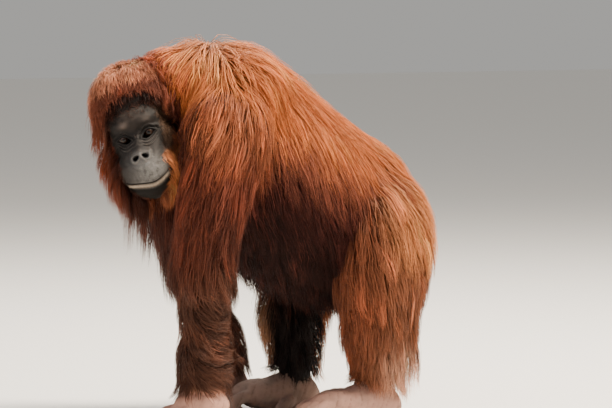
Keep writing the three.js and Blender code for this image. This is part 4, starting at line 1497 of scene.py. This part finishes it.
    def march(self, roots: dict, rng: np.random.Generator, stray: float) -> tuple[np.ndarray, np.ndarray]:
        """Lays hair from its roots over the body, and lets it hang where the body turns away under it.

        Args:
            roots: from scatter.
            rng: the draw.
            stray: how far a hair turns off the lie, in radians.

        Returns:
            The places along each hair, and the way out there, both by station.
        """
        at, out, corner = roots["at"].copy(), roots["out"].copy(), roots["corner"]
        count = len(at)
        length = self.size[corner, Column.LENGTH] * rng.uniform(0.72, 1.12, count)
        rise = self.size[corner, Column.RISE] * rng.uniform(0.35, 1.15, count)
        loose = self.size[corner, Column.LOOSE]
        wild = rng.random(count) < 0.025
        loose = np.where(wild, np.minimum(loose + 0.5, 1), loose)
        way = unit(self.lie[corner] + out * (loose * 0.55 + np.maximum(loose - 0.5, 0) * 1.5)[:, None])
        side = np.cross(out, way)
        crown = hill(np.linalg.norm(at - np.array(WHORL), axis=1), 0, 45)
        crown += hill(np.linalg.norm(to_head(at) - np.array(CROWN), axis=1), 0, 40)
        on_head = self.on(Place.HEAD)[corner]
        turn = stray * (1 + 2.0 * crown + 2.0 * wild + 1.4 * on_head)
        way = unit(way + side * (rng.normal(0, 1, count) * turn)[:, None])
        steps = (STATIONS - 1) * 2
        places = [at - out * ROOT_DEPTH]
        outs = [out.copy()]
        free = np.zeros(count, dtype=bool)
        down = np.array([0.0, 0.0, -1.0])
        spot = at.copy()
        fall = self.size[corner, Column.FALL][:, None]
        hairy = on_head & (face_share(to_head(at), DARK_BAND) < 0.3)
        hairy &= loose < 0.6
        brake = rng.uniform(0.0, 0.85, count)
        pace = np.ones(count)
        for k in range(1, steps + 1):
            t = k / steps
            spot = spot + way * (length * pace / steps)[:, None]
            found = [self.tree.find_nearest(s) for s in spot]
            skin = np.array([f[0][:] for f in found])
            face = np.array([f[2] for f in found])
            normal = self.face_normal[face]
            height = np.sum((spot - skin) * normal, axis=1)
            high = rise * (1 - (1 - min(t * 1.25, 1)) ** 2)
            free |= (normal[:, 2] < -0.45) | (height > FLOAT_CEILING + rise)
            cling = np.where(free, 0, 0.55 * (1 - loose))
            pulled = np.where(height < high, height - high, (height - high) * cling)
            spot = spot - normal * pulled[:, None]
            out = unit(out * 0.5 + normal * 0.5)
            lie = self.lie[self.first[face]]
            way = unit(way * 0.86 + lie * 0.14 + down * fall)
            way = np.where(free[:, None], unit(way * 0.72 + down * 0.28), way)
            shown = hairy & (face_share(to_head(skin), DARK_BAND) > 0.3)
            pace = np.where(shown, brake, pace)
            if k % 2 == 0:
                places.append(spot.copy())
                outs.append(out.copy())
        return np.stack(places, axis=1), np.stack(outs, axis=1)


@dataclass
class Coat:
    """The whole coat as solid wisps, gathered into locks, in pieces by the part of the body."""

    comb: Comb
    thin: float = 1.0
    seed: int = 7
    guide_gap: float = 15.0
    half_widths: tuple = (0.8, 1.0, 0.85, 0.55)

    def build(self) -> list[bpy.types.Object]:
        """Grows the wisps and makes the pieces."""
        rng = np.random.default_rng(self.seed)
        roots = self.comb.scatter(rng, self.thin)
        cells = np.floor(roots["at"] / self.guide_gap).astype(int)
        _, chosen = np.unique(cells, axis=0, return_index=True)
        leaders = {key: value[chosen] for key, value in roots.items()}
        lead, _ = self.comb.march(leaders, rng, 0.2)
        line, out = self.comb.march(roots, rng, 0.14)
        tree = kdtree.KDTree(len(chosen))
        for i, spot in enumerate(leaders["at"]):
            tree.insert(spot, i)
        tree.balance()
        mine = np.array([tree.find(spot)[1] for spot in roots["at"]])
        draw = np.linspace(0, 1, STATIONS) ** 0.8 * 0.95
        size = self.comb.size[roots["corner"]]
        eager = rng.uniform(0.6, 1.1, len(line))
        pull = draw[None, :] * size[:, Column.CLUMP][:, None] * eager[:, None]
        line = line + (lead[mine] - line) * pull[:, :, None]
        travel = np.linspace(0, 1, STATIONS)[None, :]
        phase = (rng.uniform(0, 2 * math.pi, len(chosen))[mine] + rng.normal(0, 0.5, len(line)))[:, None]
        swing = size[:, Column.WAVE][:, None] * travel * np.sin(phase + 5.0 * travel)
        swing = swing * rng.uniform(0.4, 1.2, len(line))[:, None]
        line = line + unit(np.cross(np.gradient(line, axis=1), out)) * swing[:, :, None]
        colour = coat_colour(roots["at"], self.comb.place[roots["corner"]])
        vary = size[:, Column.VARY]
        # one lock in ten lightened: lighter hair with a painted highlight
        streak = rng.random(len(chosen))[mine] < 0.1
        glint = np.array([1.0, 0.9, 0.85]) * (1 + 4.0 * vary)[:, None]
        colour = np.where(streak[:, None], np.minimum(colour * np.maximum(glint, 1), 0.62), colour)
        tone = np.exp(vary * (rng.normal(0, 0.9, len(line)) + rng.normal(0, 0.9, len(chosen))[mine]))
        colour = colour * tone[:, None]
        wide = size[:, Column.WIDE] * rng.uniform(0.7, 1.15, len(line)) / 2
        material = LongHair().material()
        pieces = []
        names = np.array([f.name for f in Atlas.forms + Atlas.heads])[self.comb.form[roots["corner"]]]
        for name in sorted(set(names)):
            mine_all = np.flatnonzero(names == name)
            parts = math.ceil(len(mine_all) / MOST_WISPS)
            order = np.argsort(roots["at"][mine_all, 1]) if name == "trunk" else np.arange(len(mine_all))
            for k, chunk in enumerate(np.array_split(mine_all[order], parts)):
                if not len(chunk):
                    continue
                label = f"coat_{name}" if parts == 1 else f"coat_{name}_{k + 1}"
                grown = [values[chunk] for values in (line, out, wide, colour, roots["at"])]
                mesh = self.wisps(label, *grown, name)
                pieces.append(show(label, mesh, material))
        return pieces

    def wisps(
        self,
        name: str,
        line: np.ndarray,
        out: np.ndarray,
        wide: np.ndarray,
        colour: np.ndarray,
        root: np.ndarray,
        form: str,
    ) -> bpy.types.Mesh:
        """Makes the mesh of some wisps, each a thin three-sided blade drawn out to a point.

        Args:
            name: the mesh's name.
            line: the places along each wisp.
            out: the way out of the coat there.
            wide: each wisp's half width.
            colour: each wisp's colour.
            root: each wisp's root on the skin.
            form: the form that it grows on.

        Returns:
            The mesh in millimetres.
        """
        count = len(line)
        along = np.gradient(line, axis=1)
        across = unit(np.cross(along, out))
        lift = unit(np.cross(across, along))
        shape = np.array(self.half_widths)[None, :, None] * wide[:, None, None]
        rings = line[:, :-1]
        left = rings - across[:, :-1] * shape
        right = rings + across[:, :-1] * shape
        top = rings + lift[:, :-1] * shape * 0.55
        ring_count = STATIONS - 1
        per = ring_count * 3 + 1
        corners = np.empty((count, per, 3))
        corners[:, 0 : per - 1 : 3] = left
        corners[:, 1 : per - 1 : 3] = top
        corners[:, 2 : per - 1 : 3] = right
        corners[:, -1] = line[:, -1]
        faces, sizes = [], []
        for i in range(ring_count - 1):
            for a, b in ((0, 1), (1, 2), (2, 0)):
                faces += [i * 3 + a, i * 3 + b, i * 3 + 3 + b, i * 3 + 3 + a]
                sizes.append(4)
        last = (ring_count - 1) * 3
        for a, b in ((0, 1), (1, 2), (2, 0)):
            faces += [last + a, last + b, per - 1]
            sizes.append(3)
        faces += [2, 1, 0]
        sizes.append(3)
        mesh = bpy.data.meshes.new(name)
        loops = (np.arange(count)[:, None] * per + np.array(faces)[None, :]).ravel()
        starts = np.concatenate([[0], np.cumsum(np.tile(sizes, count))[:-1]])
        mesh.vertices.add(count * per)
        mesh.vertices.foreach_set("co", corners.ravel())
        mesh.loops.add(len(loops))
        mesh.loops.foreach_set("vertex_index", loops.astype(np.int32))
        mesh.polygons.add(count * len(sizes))
        mesh.polygons.foreach_set("loop_start", starts.astype(np.int32))
        mesh.polygons.foreach_set("use_smooth", np.ones(count * len(sizes), dtype=bool))
        mesh.update(calc_edges=True)
        # darker towards the root and lighter towards the tip: painted shade deep in the coat at the roots
        fade = np.interp(np.linspace(0, 1, STATIONS), [0, 0.3, 0.7, 1], [0.45, 0.85, 1.1, 1.3])
        tone = np.concatenate([np.repeat(fade[:-1], 3), fade[-1:]])
        paint(mesh, (colour[:, None, :] * tone[None, :, None]).reshape(-1, 3))
        u, v = Unwrap.of(form, root)
        step = np.concatenate([np.repeat(np.linspace(-1, 0.5, ring_count), 3), [1.0]])
        sideways = np.concatenate([np.tile([-1.0, 0.0, 1.0], ring_count), [0.0]])
        uv = np.stack([u[:, None] + sideways * PATCH / 2, v[:, None] + step * PATCH / 2], axis=2)
        layer = mesh.uv_layers.new(name="OFBake")
        layer.data.foreach_set("uv", uv.reshape(-1, 2)[loops].astype(np.float32).ravel())
        return mesh


class Unwrap:
    """The skin laid flat, part by part: the turn about the part across, and the travel along it up."""

    @staticmethod
    def of(form: str, root: np.ndarray) -> tuple[np.ndarray, np.ndarray]:
        """Where roots lie on their part's own flat map.

        Args:
            form: the part's name.
            root: the roots' places in the body's frame.

        Returns:
            The places across and up, from 0 to 1.
        """
        if form in ("head", "ear"):
            h = to_head(root)
            turn, travel = np.arctan2(h[:, 1], -h[:, 0]), h[:, 2]
        elif form == "trunk":
            turn, travel = np.arctan2(root[:, 1], root[:, 2] - 400), root[:, 0]
        else:
            middle = root.mean(axis=0)
            turn, travel = np.arctan2(root[:, 1] - middle[1], root[:, 0] - middle[0]), root[:, 2]
        low, high = travel.min(), travel.max()
        across = 0.01 + 0.98 * (turn / (2 * math.pi) + 0.5)
        return across, 0.01 + 0.98 * (travel - low) / max(high - low, 1e-6)


@dataclass(frozen=True)
class Eyes:
    """Both eyeballs: dark whites, a brown iris and a black pupil."""

    iris: float = 6.2
    pupil: float = 2.7
    look: tuple = (-1.0, 0.0, 0.03)

    def build(self) -> None:
        """Makes each eye and sets it in place of its node."""
        material = WetEye().material()
        for side_name, side in SIDES.items():
            x, y, z = EYE_CENTRE
            mesh = bpy.data.meshes.new(f"eyeball_{side_name}")
            ball = bmesh.new()
            bmesh.ops.create_icosphere(ball, subdivisions=6, radius=1)
            ball.to_mesh(mesh)
            ball.free()
            p = unit(corners_of(mesh))
            gaze = unit(np.array(self.look) + np.array([0, side * 0.05, 0]))
            off = np.degrees(np.arccos(np.clip(p @ gaze, -1, 1))) * math.pi / 180 * EYE_RADIUS
            colours = np.tile(linear("#1b1310"), (len(p), 1))
            turn = np.arctan2(p[:, 2], p[:, 1])
            ray = 0.8 + 0.4 * np.sin(turn * 23) * np.sin(turn * 9)
            iris = ramp(-off, -self.iris - 0.3, -self.iris + 0.3)
            colours = shade(colours, "#2e1d13", iris)
            colours = colours * (1 + (iris * (ray - 1))[:, None] * 0.5)
            colours = shade(colours, "#120a07", hill(off, self.iris, 0.5) * 0.8)
            colours = shade(colours, "#050303", ramp(-off, -self.pupil - 0.25, -self.pupil + 0.25))
            bulge = 1 + 0.06 * ramp(-off, -self.iris - 1, -self.iris + 3)
            set_corners(mesh, from_head(p * bulge[:, None] * EYE_RADIUS * 0.97 + np.array([x, side * y, z])))
            mesh.polygons.foreach_set("use_smooth", np.ones(len(mesh.polygons), dtype=bool))
            paint(mesh, colours)
            eye = show(f"eyeball_{side_name}", mesh, material)
            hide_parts(f"eye_{side_name}")


@dataclass(frozen=True)
class Studio:
    """A pale floor, soft lamps and the camera at the photograph's angle."""

    turn: float = -23.0
    height: float = 4.0
    far: float = 7000.0
    across: float = 1040.4  # what the picture spans at the animal, in millimetres
    aim: tuple = (0.0, 0.0, 362.0)

    def place(self, turn: float, height: float, far: float) -> Vector:
        """A place round the animal, in metres, from degrees round and up and a distance in millimetres."""
        a, e = math.radians(turn), math.radians(height)
        back = Vector((math.sin(a) * math.cos(e), -math.cos(a) * math.cos(e), math.sin(e)))
        return (Vector(self.aim) + Vector(SHIFT.tolist()) + back * far) * MM

    def lamp(self, name: str, turn: float, height: float, size: float, power: float, tint: str) -> None:
        """A soft square lamp that faces the animal."""
        light = bpy.data.lights.new(name, "AREA")
        light.size = size
        light.energy = power
        light.color = linear(tint)
        thing = bpy.data.objects.new(name, light)
        thing.location = self.place(turn, height, 3200)
        aim = (Vector(self.aim) + Vector(SHIFT.tolist())) * MM
        thing.rotation_euler = (aim - thing.location).to_track_quat("-Z", "Y").to_euler()
        bpy.context.collection.objects.link(thing)

    def build(self) -> None:
        """Sets out the floor, the lamps, the world and the camera."""
        mesh = bpy.data.meshes.new("floor")
        reach = 14.0
        corners = [(-reach, -reach, 0), (reach, -reach, 0), (reach, reach, 0), (-reach, reach, 0)]
        mesh.from_pydata(corners, [], [(0, 1, 2, 3)])
        floor = bpy.data.objects.new("floor", mesh)
        bpy.context.collection.objects.link(floor)
        m, _, surface = blank_material("studio_floor_matt_paint")
        surface.inputs["Base Color"].default_value = (*linear("#efece7"), 1)
        surface.inputs["Roughness"].default_value = 0.85
        mesh.materials.append(m)
        world = bpy.data.worlds.new("studio")
        world.use_nodes = True
        sky = next(n for n in world.node_tree.nodes if n.bl_idname == "ShaderNodeBackground")
        tree = world.node_tree
        way = add(tree, "ShaderNodeTexCoord")
        up = add(tree, "ShaderNodeSeparateXYZ", {"Vector": way.outputs["Generated"]})
        rise = add(tree, "ShaderNodeMapRange", {"Value": up.outputs["Z"], "From Min": 0.0, "From Max": 0.7})
        rise.inputs["To Min"].default_value, rise.inputs["To Max"].default_value = 0.49, 0.55
        tree.links.new(rise.outputs["Result"], sky.inputs["Strength"])
        sky.inputs["Color"].default_value = (*linear("#eceae6"), 1)
        bpy.context.scene.world = world
        self.lamp("key", 62, 60, 1.2, 400, "#fff2e0")
        self.lamp("fill", -70, 25, 2.6, 30, "#eef3ff")
        self.lamp("rim", 165, 50, 1.8, 110, "#fff6ea")
        camera = bpy.data.cameras.new("camera")
        camera.sensor_width = 36.0
        camera.lens = camera.sensor_width * self.far / self.across
        camera.clip_end = 60
        view = bpy.data.objects.new("camera", camera)
        view.location = self.place(self.turn, self.height, self.far)
        aim = (Vector(self.aim) + Vector(SHIFT.tolist())) * MM
        view.rotation_euler = (aim - view.location).to_track_quat("-Z", "Y").to_euler()
        bpy.context.collection.objects.link(view)
        bpy.context.scene.camera = view


@dataclass(frozen=True)
class Nails:
    """The flat nails at the ends of the fingers and toes."""

    wide: float = 9.5
    long: float = 11.0
    thick: float = 0.9
    round_off: float = 9.0  # radius of the finger under a nail

    def plate(self, middle: np.ndarray, out: np.ndarray, along: np.ndarray) -> tuple[np.ndarray, list]:
        """One nail: a plate bent round the finger, thick at its root and rounded at its free edge.

        Args:
            middle: the finger's middle under the nail.
            out: the way from there to the nail.
            along: the way from the nail's root to its free edge.

        Returns:
            Its corners and faces.
        """
        out, along = unit(out), unit(along)
        across = np.cross(out, along)
        columns, rows = 9, 8
        turn = np.linspace(-1, 1, columns) * self.wide / 2 / self.round_off
        corners = []
        for layer in (self.thick, -0.8):
            for t in np.linspace(-0.5, 0.5, rows):
                round_end = 1 - 0.45 * ramp(np.array(t), 0.22, 0.5) - 0.25 * ramp(np.array(-t), 0.3, 0.5)
                arch = turn * round_end
                high = self.round_off + layer + 0.5 * t
                spots = np.outer(np.cos(arch) * high, out) + np.outer(np.sin(arch) * high, across)
                corners.append(middle + spots + along * t * self.long)
        corners = np.vstack(corners)
        lower = columns * rows
        faces = []
        for i in range(rows - 1):
            for j in range(columns - 1):
                k = i * columns + j
                faces.append([k, k + 1, k + columns + 1, k + columns])
                faces.append([lower + k, lower + k + columns, lower + k + columns + 1, lower + k + 1])
        rim = list(range(columns)) + [i * columns + columns - 1 for i in range(1, rows)]
        rim += [lower - 2 - j for j in range(columns - 1)] + [i * columns for i in range(rows - 2, 0, -1)]
        for a, b in zip(rim, rim[1:] + rim[:1]):
            faces.append([a, lower + a, lower + b, b])
        return corners, faces

    def build(self) -> bpy.types.Object:
        """Makes all the nails as one piece."""
        corners, faces = [], []
        for name, side in SIDES.items():
            ends = [finger_rows(*HAND[name], -side * a, reach) for a, reach in FINGERS]
            ends += [toe_rows(*FOOT[name], -side * a, reach) for a, reach in TOES]
            for rows in ends:
                upper, tip = np.array(rows[2][:3]), np.array(rows[3][:3])
                middle = upper * 0.35 + tip * 0.65
                c, f = self.plate(middle, np.array([-1.0, 0.0, 0.12]), tip - upper)
                start = sum(len(part) for part in corners)
                corners.append(c)
                faces += [[start + k for k in face] for face in f]
        mesh = bpy.data.meshes.new("nails")
        mesh.from_pydata(np.vstack(corners).tolist(), [], faces)
        mesh.polygons.foreach_set("use_smooth", np.ones(len(mesh.polygons), dtype=bool))
        return show("nails", mesh, Nail().material())


def main() -> None:
    """Builds the animal and the studio round it."""
    logging.basicConfig(level=logging.INFO, format="%(message)s")
    skin = Skin().build()
    log.info("%s: %d faces", skin.name, len(skin.data.polygons))
    Eyes().build()
    Nails().build()
    total = 0
    for piece in Coat(Comb()).build():
        faces = len(piece.data.loops) - 2 * len(piece.data.polygons)
        total += faces
        log.info("%s: %d triangles", piece.name, faces)
    log.info("coat: %d triangles in all", total)
    Studio().build()


if __name__ == "__main__":
    main()
